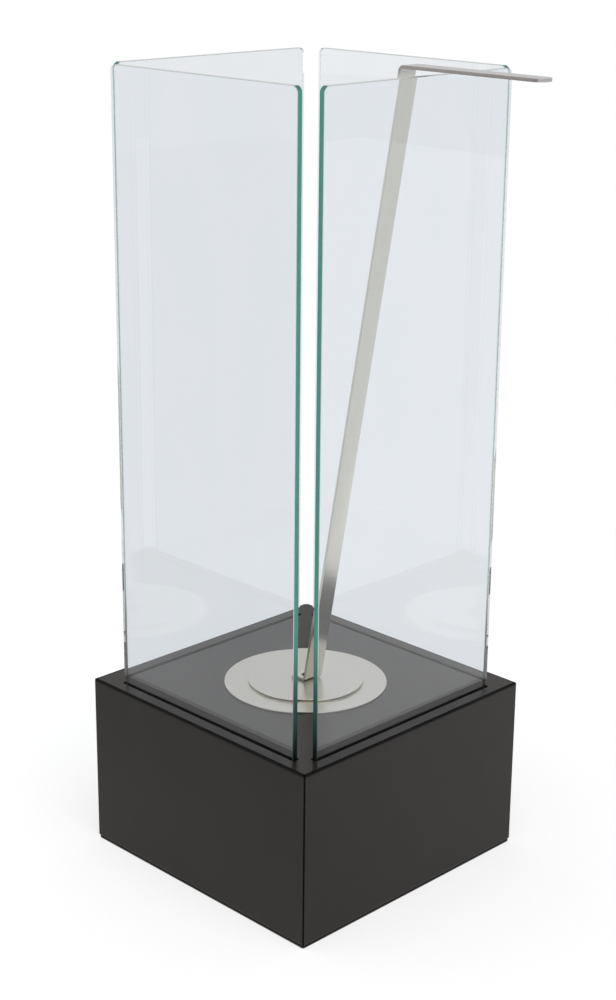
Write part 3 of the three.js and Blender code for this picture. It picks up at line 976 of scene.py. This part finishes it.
# %% [markdown]
# ### Green ends
#
# Float glass looks clear through its thickness and green through its length, because
# iron in it takes away a little red on every millimetre. Light that comes out of an
# end has crossed the whole pane, so each end glows green, and fades out towards the
# plate, where it comes up from the dark inside of the base. Tracing that light takes
# dozens of reflections. Here the ends get a green finish on the outside instead, with
# the fade as a ramp over their height, while from inside they are glass like the rest.
# An end that is seen through another pane is paler, as at the left and right corners.

# %% Green ends
PLATE_TOP = 178.0
GLASS_TOP, GLASS_ROUNDING = 783.0, 6.0
ROUNDING_LEVEL = 0.5  # how bright an end is round its top corner
ROUNDING_ENDS = 1.0  # how far below the top it has come down to that
END_FADE = (
    # height above the plate in millimetres, and how bright the end is there
    (0, 0.02),
    (17, 0.06),
    (28, 0.12),
    (50, 0.24),
    (71, 0.41),
    (82, 0.64),
    (104, 0.87),
    (125, 1.0),
)


def end_glow(tree, code):
    """A colour that fades out towards the plate and is deeper round the top corner."""
    height, full = axis(tree, 2), paint(code)[:3]
    reach = END_FADE[-1][0] * MM
    above = map_range(tree, height, PLATE_TOP * MM, PLATE_TOP * MM + reach)
    ramp = tree.nodes.new("ShaderNodeValToRGB")
    stops = ramp.color_ramp.elements
    for number, (rise, level) in enumerate(END_FADE):
        # A ramp has two stops to begin with, and the others are added.
        stop = stops[number] if number < 2 else stops.new(rise * MM / reach)
        stop.position = rise * MM / reach
        stop.color = [channel * level for channel in full] + [1]
    tree.links.new(above, ramp.inputs["Fac"])
    deep = [channel * ROUNDING_LEVEL for channel in full] + [1]
    rounding = rising(tree, height, GLASS_TOP - GLASS_ROUNDING, GLASS_TOP - ROUNDING_ENDS)
    return mix(tree, "RGBA", rounding, ramp.outputs["Color"], deep)


def glass_end():
    """The two ends of a pane: green from outside, and clear from inside."""
    finish, tree, shader = start_finish("glass_end")
    glass_body(tree, shader)
    green = add_node(tree, "ShaderNodeBsdfPrincipled", Roughness=0.3, Specular_IOR_Level=0.2)
    full, pale = end_glow(tree, "#5aa094"), end_glow(tree, "#a3bab5")
    glow = mix(tree, "RGBA", ray_is(tree, "Transmission"), full, pale)
    tree.links.new(glow, green.inputs["Base Color"])
    both = mix_shaders(tree, seen_from_inside(tree), green.outputs[0], shader.outputs[0])
    let_lamps_through(finish, both)
    return finish


# %% [markdown]
# ### Ground facets and top edge
#
# The edges of a pane are ground, which leaves them matt: light goes in and comes out
# scattered. The narrow facets are pale and a little clear, and fade like the ends that
# they lie beside. The top edge is a matt grey. Rough transmission would be the exact
# way, but at this width it costs many samples and looks the same.

# %% Ground facets and top edge
def ground_facet():
    """The narrow slanted facets along the edges."""
    finish, tree, shader = start_finish("ground_facet", Roughness=0.5)
    shader.inputs["Transmission Weight"].default_value = 0.2
    tree.links.new(end_glow(tree, "#f2faf9"), shader.inputs["Base Color"])
    let_lamps_through(finish, shader.outputs[0])
    return finish


def glass_top():
    """The top edge."""
    finish, tree, shader = start_finish("glass_top", Roughness=0.4)
    cut = colours(tree, grain(tree, size=3), "#cbd1d0", "#d3d9d8")
    tree.links.new(cut, shader.inputs["Base Color"])
    let_lamps_through(finish, shader.outputs[0])
    return finish


CLEAR_GLASS, GROUND_FACET = clear_glass(), ground_facet()
GLASS_END, GLASS_TOP_EDGE = glass_end(), glass_top()

# %% [markdown]
# ## The box
#
# ### Side panels
#
# Each side of the box is a sheet 1.5 mm thick. Its foot is folded in to a lip, which
# the bottom plate is screwed to. The ends are cut at 45 degrees so that two panels
# meet at a corner, and leave a narrow seam there. The four could be one ring of faces,
# which would lose the seams. So one panel is drawn as a strip, folded and thickened,
# and mitred by cutting it with two slanted planes.

# %% Side panels
HALF_SIDE = 150.0
SHEET, PANEL_FOLD = 1.5, 2.5

low, high = box_mm("side_panel_front_left")
path = [(low.y, high.z), (low.y, low.z), (high.y, low.z)]
panel = strip(path, high.x)
fold(panel, path, [PANEL_FOLD])
thicken(panel, SHEET, 1)
for end in (-1, 1):
    with editing(panel):
        bpy.ops.mesh.select_all(action="SELECT")
        bpy.ops.mesh.bisect(
            plane_co=mm(end * high.x, low.y, 0),
            plane_no=(end, 1, 0),
            use_fill=True,
            clear_outer=True,
        )
print("one mitred panel:", len(panel.data.polygons), "faces")

# %% [markdown]
# ### Panel edges and holes
#
# The top edge is rounded over, as a guillotined and coated edge is, and the mitred
# corners less so. Each gets its own bevel, because one Bevel modifier would round them
# all alike. The lip is drilled for two screws, and the panel is copied round the base.

# %% Panel edges and holes
PANEL_TOP_ROUND, PANEL_END_ROUND, PANEL_EDGE = 1.4, 0.8, 0.12
LIP_HOLE = 1.8
SCREW_OFFSET, SCREW_FROM_FACE = 90.0, 9.0

top_line = mm(0, low.y, high.z)
outside = low.y * MM
round_edges(
    panel,
    lambda edge: runs_along(edge, 0) and is_at(edge, top_line),
    PANEL_TOP_ROUND,
    steps=5,
)
round_edges(
    panel,
    lambda edge: runs_along(edge, 2) and abs(middle(edge).y - outside) < TINY,
    PANEL_END_ROUND,
    steps=3,
)
for x in (-SCREW_OFFSET, SCREW_OFFSET):
    drill = rod(LIP_HOLE, low.z - OVERCUT, low.z + 2 * SHEET, x, low.y + SCREW_FROM_FACE)
    combine(panel, drill)
soften(panel, PANEL_EDGE, steps=1)
smooth(panel)
for place, piece in round_the_base(panel, SIDES).items():
    dress(piece, f"folded_panel_{place}", f"side_panel_{place}", "base", "black_coat", SHADED_PANEL_COAT)

# %% [markdown]
# ### Top plate
#
# A 3 mm plate closes the box. It has a slot for each pane, a round hole for the burner and four
# studs welded under its corners. Plate and openings could be one outline, filled and extruded.
# Cutting a block with a solid for each opening leaves every one of them free to be moved. Every
# edge gets a thin bevel, and its finish paints every wall below the upper surface dark, as shade.

# %% Top plate
SLOT_LENGTH, SLOT_WIDTH, SLOT_CORNER = 244.0, 7.8, 1.5
GLASS_MIDDLE = 132.6
BURNER_HOLE = 58.0
PLATE_THICKNESS, PLATE_CORNER, PLATE_EDGE = 3.0, 1.0, 0.2

low, high = box_mm("top_plate")
plate_bottom = high.z - PLATE_THICKNESS
top = block((low.x, low.y, plate_bottom), high, corner=PLATE_CORNER)
for x, y, width, depth in (
    (0, -GLASS_MIDDLE, SLOT_LENGTH, SLOT_WIDTH),
    (0, GLASS_MIDDLE, SLOT_LENGTH, SLOT_WIDTH),
    (-GLASS_MIDDLE, 0, SLOT_WIDTH, SLOT_LENGTH),
    (GLASS_MIDDLE, 0, SLOT_WIDTH, SLOT_LENGTH),
):
    opening = block(
        (x - width / 2, y - depth / 2, plate_bottom - OVERCUT),
        (x + width / 2, y + depth / 2, high.z + OVERCUT),
        corner=SLOT_CORNER,
    )
    combine(top, opening)
combine(top, rod(BURNER_HOLE, plate_bottom - OVERCUT, high.z + OVERCUT, sides=128))
soften(top, PLATE_EDGE)
print("slots", SLOT_WIDTH, "mm wide, burner hole", 2 * BURNER_HOLE, "mm across")

# %% [markdown]
# ### Studs under the plate
#
# A stud is welded under each corner, and the corner posts are bolted to them. Each is a
# rod with a chamfered tip. It reaches a little into the plate, since a Boolean joins
# two solids well only where they overlap. A union leaves one closed skin, as a weld
# does, where a rod that only stands against the plate would be a loose part.

# %% Studs under the plate
STUD_PLACE, STUD_RADIUS, STUD_CHAMFER = 136.7, 2.0, 0.5
WELD_DEPTH = 1.0

for x in (-STUD_PLACE, STUD_PLACE):
    for y in (-STUD_PLACE, STUD_PLACE):
        stud = rod(STUD_RADIUS, low.z, plate_bottom + WELD_DEPTH, x, y)
        with editing(stud):
            pick(stud, "FACE", lambda face: face.normal.z < -FACING)
            bpy.ops.mesh.bevel(offset=STUD_CHAMFER * MM, segments=1, affect="EDGES")
        combine(top, stud, "UNION")
smooth(top)
dress(top, "slotted_top", "top_plate", "base", "black_coat", SHADED_TOP_COAT)

# %% [markdown]
# ### Bottom plate
#
# The object rests on a flat plate, set back a little from the panels so that a dark
# line shows at the foot. Eight countersunk screws hold it. The cutter for a hole is
# turned from one profile, cone and drill together, while a cone and a rod would be two
# cuts at each place. All eight cutters are joined, and cut the plate at one time.

# %% Bottom plate
SCREW_RADIUS, SCREW_HEAD, SCREW_RECESS, SCREW_TOP = 1.5, 2.85, 0.15, 8.0
HEAD_HEIGHT = 1.35
MOUTH_PLAY = 0.45
BOTTOM_CORNER = 2.0

reach = HALF_SIDE - SCREW_FROM_FACE
screw_places = []
for turn in range(4):
    for side in (-SCREW_OFFSET, SCREW_OFFSET):
        place = Matrix.Rotation(turn * QUARTER, 3, "Z") @ Vector((side, -reach, 0))
        screw_places.append(place)

low, high = box_mm("bottom_plate")
bottom = block(low, high, corner=BOTTOM_CORNER)
mouth = SCREW_HEAD + MOUTH_PLAY
countersink = [
    (0, -OVERCUT),
    (mouth, -OVERCUT),
    (mouth, 0),
    (LIP_HOLE, HEAD_HEIGHT + SCREW_RECESS),
    (LIP_HOLE, high.z + OVERCUT),
    (0, high.z + OVERCUT),
]
cutters = [turned(countersink, sides=32, x=place.x, y=place.y) for place in screw_places]
combine(bottom, joined(cutters))
soften(bottom, PLATE_EDGE, steps=1)
smooth(bottom)
dress(bottom, "base_floor", "bottom_plate", "base", "black_coat", BLACK_COAT)

# %% [markdown]
# ### Countersunk screws
#
# The screws have a cone for a head, a six-sided socket and a rolled thread. A real
# thread climbs, and could be made with the Screw modifier. Its start and end are hard
# to close, and a thread this fine looks the same as a row of grooves, so the grooves
# are part of the profile that is turned.

# %% Countersunk screws
THREAD_PITCH, THREAD_DEPTH = 0.5, 0.28
THREAD_START, THREAD_END = 0.1, 1.0  # free lengths below the head and at the tip
HEAD_RIM, TIP_TAPER = 0.2, 0.6
SOCKET_ACROSS_CORNERS, SOCKET_DEPTH = 1.15, 1.0
HARD_EDGE = 25  # degrees, so that small steps still look cut

rim_top = SCREW_RECESS + HEAD_RIM
profile = [(0, SCREW_RECESS), (SCREW_HEAD, SCREW_RECESS), (SCREW_HEAD, rim_top)]
height = SCREW_RECESS + HEAD_HEIGHT + THREAD_START
while height < SCREW_TOP - THREAD_END:
    profile.append((SCREW_RADIUS - THREAD_DEPTH, height))
    profile.append((SCREW_RADIUS, height + THREAD_PITCH / 2))
    height += THREAD_PITCH
profile += [(SCREW_RADIUS - TIP_TAPER, SCREW_TOP), (0, SCREW_TOP)]
screw = turned(profile, sides=32)
combine(screw, rod(SOCKET_ACROSS_CORNERS, 0, SCREW_RECESS + SOCKET_DEPTH, sides=6))
smooth(screw, HARD_EDGE)
for number, place in enumerate(screw_places, 1):
    piece = screw if number == len(screw_places) else copy_of(screw)
    piece.location = mm(place.x, place.y, 0)
    settle(piece)
    name = f"countersunk_screw_{number}"
    dress(piece, name, f"bottom_screw_{number}", "base", "screw_steel", SCREW_STEEL)

# %% [markdown]
# ### Corner posts
#
# Inside each corner stands an angle of folded steel. It holds two panels together and
# carries the top plate on a tab. The angle could be extruded upwards from an L. It is
# the same kind of strip as a panel instead, which gives it the same kind of bend, drawn
# lying down and then turned up.

# %% Corner posts
POST_THICKNESS, POST_FOLD, POST_EDGE = 2.0, 3.0, 0.15
TAB_LOW, TAB_HIGH, TAB_SIDE = 171.7, 173.7, 21.0
STUD_PLAY = 0.3

low, high = box_mm("corner_post_front")
path = [(low.y, -low.x), (low.y, -high.x), (high.y, -high.x)]
post = strip(path, (high.z - low.z) / 2)
fold(post, path, [POST_FOLD])
thicken(post, POST_THICKNESS, 1)
post.rotation_euler.y = -QUARTER
post.location.z = (low.z + high.z) / 2 * MM
settle(post)
tab = block((low.x, high.y - TAB_SIDE, TAB_LOW), (low.x + TAB_SIDE, high.y, TAB_HIGH))
stud_hole = STUD_RADIUS + STUD_PLAY
combine(tab, rod(stud_hole, TAB_LOW - OVERCUT, TAB_HIGH + OVERCUT, STUD_PLACE, -STUD_PLACE))
combine(post, tab, "UNION")
soften(post, POST_EDGE, steps=1)
smooth(post)
for place, piece in round_the_base(post, CORNERS).items():
    dress(piece, f"corner_angle_{place}", f"corner_post_{place}", "base", "zinc_steel", ZINC_STEEL)

# %% [markdown]
# ### Nuts on the studs
#
# A nut is cut from six-sided bar and then chamfered on a lathe, which leaves a curved
# line on each flat. A bevel would leave straight lines. So a six-sided rod is crossed
# with a turned crown, and only what lies in both is kept.

# %% Nuts on the studs
CROWN_NARROWS, CROWN_HEIGHT = 0.88, 0.5

low, high = box_mm("post_nut_front")
nut_radius = (high.x - low.x) / 2
nut = rod(nut_radius, low.z, high.z, sides=6)
nut.rotation_euler.z = QUARTER
settle(nut)
combine(nut, rod(stud_hole, low.z - OVERCUT, high.z + OVERCUT, sides=24))
crown = turned(
    [
        (0, low.z),
        (nut_radius * CROWN_NARROWS, low.z),
        (nut_radius, low.z + CROWN_HEIGHT),
        (nut_radius, high.z - CROWN_HEIGHT),
        (nut_radius * CROWN_NARROWS, high.z),
        (0, high.z),
    ],
    sides=48,
)
combine(nut, crown, "INTERSECT")
nut.location = mm(STUD_PLACE, -STUD_PLACE, 0)
settle(nut)
smooth(nut, HARD_EDGE)
for place, piece in round_the_base(nut, CORNERS).items():
    dress(piece, f"hex_nut_{place}", f"post_nut_{place}", "base", "screw_steel", SCREW_STEEL)

# %% [markdown]
# ## What the glass stands in
#
# ### Channels
#
# Under each slot hangs a channel, folded in a hat shape, that catches the pane. It
# could be extruded from its section, a closed outline with every bend drawn twice. As a
# strip it is drawn once, on its inner face, and the two folds at its brim get the
# larger radius, because there the drawn face is the outside of the bend.

# %% Channels
CHANNEL_INSIDE, CHANNEL_BEND = 4.7, 0.8

low, high = box_mm("glass_channel_front_left")
brim = (high.y - low.y) / 2
channel_floor = low.z + SHEET
path = [
    (-GLASS_MIDDLE + brim, high.z),
    (-GLASS_MIDDLE + CHANNEL_INSIDE, high.z),
    (-GLASS_MIDDLE + CHANNEL_INSIDE, channel_floor),
    (-GLASS_MIDDLE - CHANNEL_INSIDE, channel_floor),
    (-GLASS_MIDDLE - CHANNEL_INSIDE, high.z),
    (-GLASS_MIDDLE - brim, high.z),
]
channel = strip(path, high.x)
outer_bend = CHANNEL_BEND + SHEET
fold(channel, path, [outer_bend, CHANNEL_BEND, CHANNEL_BEND, outer_bend], steps=4)
thicken(channel, SHEET, 1)
smooth(channel)
for place, piece in round_the_base(channel, SIDES).items():
    dress(piece, f"hat_channel_{place}", f"glass_channel_{place}", "base", "zinc_steel", ZINC_STEEL)

# %% [markdown]
# ### Silicone strips
#
# In each channel lies a silicone strip with a U section, so that glass never touches
# steel. It is a strip too, with one thickness all over, and its floor is then raised by
# moving one face, because the pane's weight rests on it and it is thicker there.

# %% Silicone strips
CUSHION_LEG, CUSHION_FLOOR = 1.2, 1.9
CUSHION_BEND, CUSHION_EDGE = 0.8, 0.3

low, high = box_mm("glass_cushion_front_left")
path = [(high.y, high.z), (high.y, low.z), (low.y, low.z), (low.y, high.z)]
cushion = strip(path, high.x)
fold(cushion, path, [CUSHION_BEND, CUSHION_BEND], steps=3)
thicken(cushion, CUSHION_LEG, -1)
with editing(cushion):
    floor_height = (low.z + CUSHION_LEG) * MM
    pick(
        cushion,
        "FACE",
        lambda face: face.normal.z > FACING and abs(middle(face).z - floor_height) < TINY,
    )
    bpy.ops.transform.translate(value=mm(0, 0, CUSHION_FLOOR - CUSHION_LEG))
soften(cushion, CUSHION_EDGE)
smooth(cushion)
for place, piece in round_the_base(cushion, SIDES).items():
    name = f"silicone_strip_{place}"
    dress(piece, name, f"glass_cushion_{place}", "base", "silicone", SILICONE)

# %% [markdown]
# ## Glass panes
#
# A pane is a plate of 6 mm glass with its two upper corners rounded. The edges are
# ground first flat and then at 45 degrees, which is the narrow facet that a bevel of
# one step gives. A single sheet of faces would be quicker, but light would bend on its
# way in and never come out straight again. Each face gets its finish by the way it
# faces: the big faces are clear, the ends with their rounded corners green, and the
# top and the facets matt.

# %% Panes
GLASS_FACET = 0.45
FACET_FACING = (0.3, 0.95)  # a facet's normal points this much through the pane
END_FACING = 0.1  # and the normals of an end and its rounding this much along it
FINISHES = (CLEAR_GLASS, GROUND_FACET, GLASS_END, GLASS_TOP_EDGE)
FACET, END, TOP_EDGE = 1, 2, 3  # places in that list

low, high = box_mm("glass_pane_front_left")
pane = block(low, high)
top_height = high.z * MM
round_edges(
    pane,
    lambda edge: runs_along(edge, 1) and middle(edge).z > top_height - TINY,
    GLASS_ROUNDING,
    steps=12,
)
soften(pane, GLASS_FACET, steps=1, angle=60)
smooth(pane, angle=20)
for turn, (place, piece) in enumerate(round_the_base(pane, SIDES).items()):
    name = f"float_pane_{place}"
    dress(piece, name, f"glass_pane_{place}", f"pane_{place}", "clear_glass", *FINISHES)
    back_to_front = Matrix.Rotation(-turn * QUARTER, 3, "Z")
    for face in piece.data.polygons:
        normal = back_to_front @ face.normal
        if FACET_FACING[0] < abs(normal.y) < FACET_FACING[1]:
            face.material_index = FACET
        elif abs(normal.x) > END_FACING:
            face.material_index = END
        elif normal.z > FACING:
            face.material_index = TOP_EDGE

# %% [markdown]
# ## Burner
#
# ### Rim
#
# The burner is a deep drawn can that hangs by its rim in the top plate's hole. The rim
# is a flat steel ring with its edges just broken. A cylinder with a bevel and a hole
# would look alike, but the profile puts the roundings of the mouth and of the outer
# edge at their own sizes in one go.

# %% Rim
RIM_MOUTH = 48.0
RIM_EDGE, MOUTH_EDGE = 0.2, 0.4

low, high = box_mm("burner_flange")
rim = turned(
    [
        (RIM_MOUTH, low.z),
        *arc(high.x - RIM_EDGE, low.z + RIM_EDGE, RIM_EDGE, -90, 0),
        *arc(high.x - RIM_EDGE, high.z - RIM_EDGE, RIM_EDGE, 0, 90),
        *arc(RIM_MOUTH + MOUTH_EDGE, high.z - MOUTH_EDGE, MOUTH_EDGE, 90, 180, steps=4),
        (RIM_MOUTH, low.z),
    ],
    sides=192,
)
smooth(rim)
dress(rim, "burner_rim", "burner_flange", "burner", "stainless", STAINLESS)

# %% [markdown]
# ### Can
#
# The can is pressed from one sheet, so its wall, its floor and the bend between them
# are equally thick. Its profile runs up the outside, over the lip and down the inside.
# Solidify on a single skin would do too, but leaves a square lip, and this one is round
# so that it cuts nobody.

# %% Can
CAN_WALL, CAN_BEND = 1.2, 4.0

low, high = box_mm("burner_can")
can = turned(
    [
        (0, low.z),
        *arc(high.x - CAN_BEND, low.z + CAN_BEND, CAN_BEND, -90, 0, steps=8),
        *arc(high.x - CAN_WALL / 2, high.z - CAN_WALL / 2, CAN_WALL / 2, 0, 180, steps=6),
        *arc(high.x - CAN_BEND, low.z + CAN_BEND, CAN_BEND - CAN_WALL, 0, -90, steps=8),
        (0, low.z + CAN_WALL),
    ],
)
smooth(can)
dress(can, "fuel_can", "burner_can", "burner", "stainless", STAINLESS_TURNED)

# %% [markdown]
# ### Ceramic wool
#
# The can is packed with ceramic wool that soaks up the fuel, so that nothing spills. It
# is a fibrous plug with a lumpy skin. The plug is turned with a fine mesh, and Displace
# pushes the skin in by a cloud texture. A bump in the finish would give no lumps at the
# outline, and sculpting would have to be done again for each change of size.

# %% Ceramic wool
WOOL_STEP = 2.5  # spacing of the mesh that the tufts are raised from
WOOL_TUFTS, TUFT_SIZE = 0.9, 6

low, high = box_mm("burner_wool")
wall = high.z - low.z - CAN_BEND
rings = int(wall / WOOL_STEP)
spokes = int(high.x / WOOL_STEP)
across = [high.x * i / spokes for i in range(spokes + 1)]
profile = [(radius, low.z) for radius in across[:-2]]
profile.append((high.x - CAN_BEND, low.z))
profile += [(high.x, low.z + CAN_BEND + wall * i / rings) for i in range(rings)]
profile += [(radius, high.z) for radius in reversed(across)]
wool = turned(profile)
tufts = bpy.data.textures.new("wool_tufts", "CLOUDS")
tufts.noise_scale = TUFT_SIZE * MM
tufts.noise_depth = 3
modify(
    wool,
    "DISPLACE",
    texture=tufts,
    texture_coords="LOCAL",
    strength=WOOL_TUFTS * MM,
    mid_level=1.0,
)
smooth(wool, angle=60)
dress(wool, "ceramic_filling", "burner_wool", "burner", "ceramic_wool", CERAMIC_WOOL)

# %% [markdown]
# ### Pierced screen
#
# A steel sheet with round holes lies over the wool and holds it down. The holes could
# be a pattern in the finish, which would be faster but would have no depth. All the
# punches are joined first and cut in one Boolean, as a press does in one stroke, and
# each ring of holes has six more than the one inside it, so that they lie evenly.

# %% Pierced screen
HOLE_RADIUS, RING_PITCH, RINGS, HOLES_PER_RING = 3.4, 13.0, 3, 6
SCREEN_EDGE = 0.1

low, high = box_mm("burner_screen")
screen = rod(high.x, low.z, high.z, sides=128)
below, above = low.z - OVERCUT, high.z + OVERCUT
punches = [rod(HOLE_RADIUS, below, above, sides=24)]
for ring in range(1, RINGS + 1):
    count = HOLES_PER_RING * ring
    for hole_number in range(count):
        angle = math.tau * hole_number / count
        x, y = ring * RING_PITCH * math.cos(angle), ring * RING_PITCH * math.sin(angle)
        punches.append(rod(HOLE_RADIUS, below, above, x, y, sides=24))
print(len(punches), "holes in the screen")
combine(screen, joined(punches))
soften(screen, SCREEN_EDGE, steps=1)
smooth(screen)
dress(screen, "pierced_screen", "burner_screen", "burner", "stainless", STAINLESS)

# %% [markdown]
# ## Lid
#
# A flat disc closes the burner, its edge cut away underneath so that a finger gets
# hold of it. A ring under it drops into the burner's mouth, so that the lid can't
# slide off. Both are turned: a bevelled cylinder could be the disc, but its slanted
# underside is a single point more in a profile.

# %% Lid
LID_EDGE, LID_UNDERCUT = 0.2, 1.5
SKIRT_EDGE = 0.4
HOOK_X, HOOK_HOLE = -1.5, 1.8

low, high = box_mm("lid_disc")
lid = turned(
    [
        (0, low.z),
        (high.x - LID_UNDERCUT, low.z),
        (high.x, low.z + LID_UNDERCUT),
        *arc(high.x - LID_EDGE, high.z - LID_EDGE, LID_EDGE, 0, 90),
        (0, high.z),
    ],
    sides=192,
)
combine(lid, rod(HOOK_HOLE, low.z - OVERCUT, high.z + OVERCUT, HOOK_X))
smooth(lid)
dress(lid, "lid_plate", "lid_disc", "lid", "stainless", STAINLESS)

low, high = box_mm("lid_skirt")
inner = high.x - SHEET
skirt = turned(
    [
        *arc(inner + SKIRT_EDGE, low.z + SKIRT_EDGE, SKIRT_EDGE, 180, 270, steps=3),
        *arc(high.x - SKIRT_EDGE, low.z + SKIRT_EDGE, SKIRT_EDGE, -90, 0, steps=3),
        (high.x, high.z),
        (inner, high.z),
        (inner, low.z + SKIRT_EDGE),
    ],
)
smooth(skirt)
dress(skirt, "lid_ring", "lid_skirt", "lid", "stainless", STAINLESS_TURNED)

# %% [markdown]
# ### Stud
#
# A headed stud stands near the middle of the lid, riveted through it, and the tool hooks under its
# head. Such a stud is one turned part, and so it is here, where three stacked cylinders would leave
# gaps or hidden faces. Its neck is painted dark, as the shade under the head, which is a second
# finish on the faces at that height, and needs no second piece.

# %% Stud
NECK_RADIUS, NECK_BOTTOM, NECK_TOP = 2.0, 182.4, 186.7
HEAD_RADIUS, HEAD_ROUND, HEAD_EDGE, HEAD_TOP = 3.4, 1.3, 0.2, 188.6
RIVET_RADIUS, RIVET_HEAD, RIVET_ROUND, RIVET_TOP = 1.5, 3.0, 0.8, 179.8
SHADED_NECK = 1  # the place of the neck's painted shade in the list of the stud's finishes

low, high = box_mm("lid_stud")
stud = turned(
    [
        (0, low.z),
        *arc(RIVET_HEAD - RIVET_ROUND, low.z + RIVET_ROUND, RIVET_ROUND, -90, 0, steps=4),
        (RIVET_HEAD, RIVET_TOP),
        (RIVET_RADIUS, RIVET_TOP),
        (RIVET_RADIUS, NECK_BOTTOM),
        (NECK_RADIUS, NECK_BOTTOM),
        (NECK_RADIUS, NECK_TOP),
        (HEAD_RADIUS - HEAD_EDGE, NECK_TOP),
        (HEAD_RADIUS, NECK_TOP + HEAD_EDGE),
        *arc(HEAD_RADIUS - HEAD_ROUND, HEAD_TOP - HEAD_ROUND, HEAD_ROUND, 0, 90),
        (0, HEAD_TOP),
    ],
    sides=48,
    x=HOOK_X,
)
smooth(stud)
dress(stud, "hook_stud", "lid_stud", "lid", "stainless", STAINLESS_TURNED, SCREW_STEEL)
# The neck gets the dark finish: painted shade under the head
for face in stud.data.polygons:
    if NECK_BOTTOM * MM < face.center.z < (NECK_TOP + HEAD_EDGE / 2) * MM:
        face.material_index = SHADED_NECK

# %% [markdown]
# ## Snuffer tool
#
# ### Bent bar
#
# The tool is one flat bar, 20 by 3 mm, bent twice. Its foot lies under the stud's head,
# its shaft leans outwards, and its handle runs level over the glass to a half-round
# end. A curve with a bevel object could be the bar, but its bends would not keep their
# thickness. It is drawn as a strip along its middle line, in the YZ plane, its end is
# rounded while it is still a sheet, and then it is folded, thickened on both sides and
# turned to lie in the XZ plane.

# %% Bent bar
BAR_WIDTH, BAR_THICKNESS = 20.0, 3.0
HEEL_X = 7.9
LEAN = math.radians(10.23)
FOOT_BEND, SHOULDER_BEND = 3.0, 4.0

low, high = box_mm("snuffer_tool")
foot_z = low.z + BAR_THICKNESS / 2
handle_z = high.z - BAR_THICKNESS / 2
shoulder_x = HEEL_X + (handle_z - foot_z) * math.tan(LEAN)
path = [(low.x, foot_z), (HEEL_X, foot_z), (shoulder_x, handle_z), (high.x, handle_z)]
tool = strip(path, BAR_WIDTH / 2)
with editing(tool):
    pick(tool, "VERT", lambda vertex: vertex.co.y > high.x * MM - TINY)
    bpy.ops.mesh.bevel(offset=BAR_WIDTH / 2 * MM, segments=16, affect="VERTICES")
    bpy.ops.mesh.select_all(action="SELECT")
    bpy.ops.mesh.remove_doubles(threshold=TINY)
fold(tool, path, [FOOT_BEND, SHOULDER_BEND], steps=10)
thicken(tool, BAR_THICKNESS, 0)
tool.rotation_euler.z = -QUARTER
settle(tool)
print(f"the shoulder is {shoulder_x - HEEL_X:.1f} mm further out than the heel")

# %% [markdown]
# ### Fork of the tool
#
# The foot is slotted, so that it slides round the stud's neck and catches under the head. The slot
# has a round end, which fits the neck. It is cut with a block whose corners are rounded by nearly
# half its width: at exactly half, two bevels would meet and leave faces without area. Then the
# bar's edges are softened, and its sides get a rougher finish of their own, painted darker as
# shade.

# %% Fork of the tool
FORK_RADIUS, FORK_X = 2.5, -1.2
FORK_OVERCUT = 5.0  # past the end of the foot, so that the slot is open there
NEARLY_ROUND = FORK_RADIUS - 0.01
BAR_EDGE = 0.35
RAW_SIDE = 1.0  # the shaded sides start this far within the bar's full width
BAR_SIDE = 1  # their place in the list of the bar's finishes

notch = block(
    (low.x - FORK_OVERCUT, -FORK_RADIUS, foot_z - BAR_THICKNESS),
    (FORK_X + FORK_RADIUS, FORK_RADIUS, foot_z + BAR_THICKNESS),
    corner=NEARLY_ROUND,
    corner_steps=10,
)
combine(tool, notch)
soften(tool, BAR_EDGE)
smooth(tool)
dress(tool, "bent_snuffer", "snuffer_tool", "tool", "stainless", STAINLESS_BAR, SHADED_BAR_SIDES)
# The sides get the darker finish: painted shade
side_starts = (BAR_WIDTH / 2 - RAW_SIDE) * MM
for face in tool.data.polygons:
    if abs(face.normal.y) > FACING and abs(face.center.y) > side_starts:
        face.material_index = BAR_SIDE
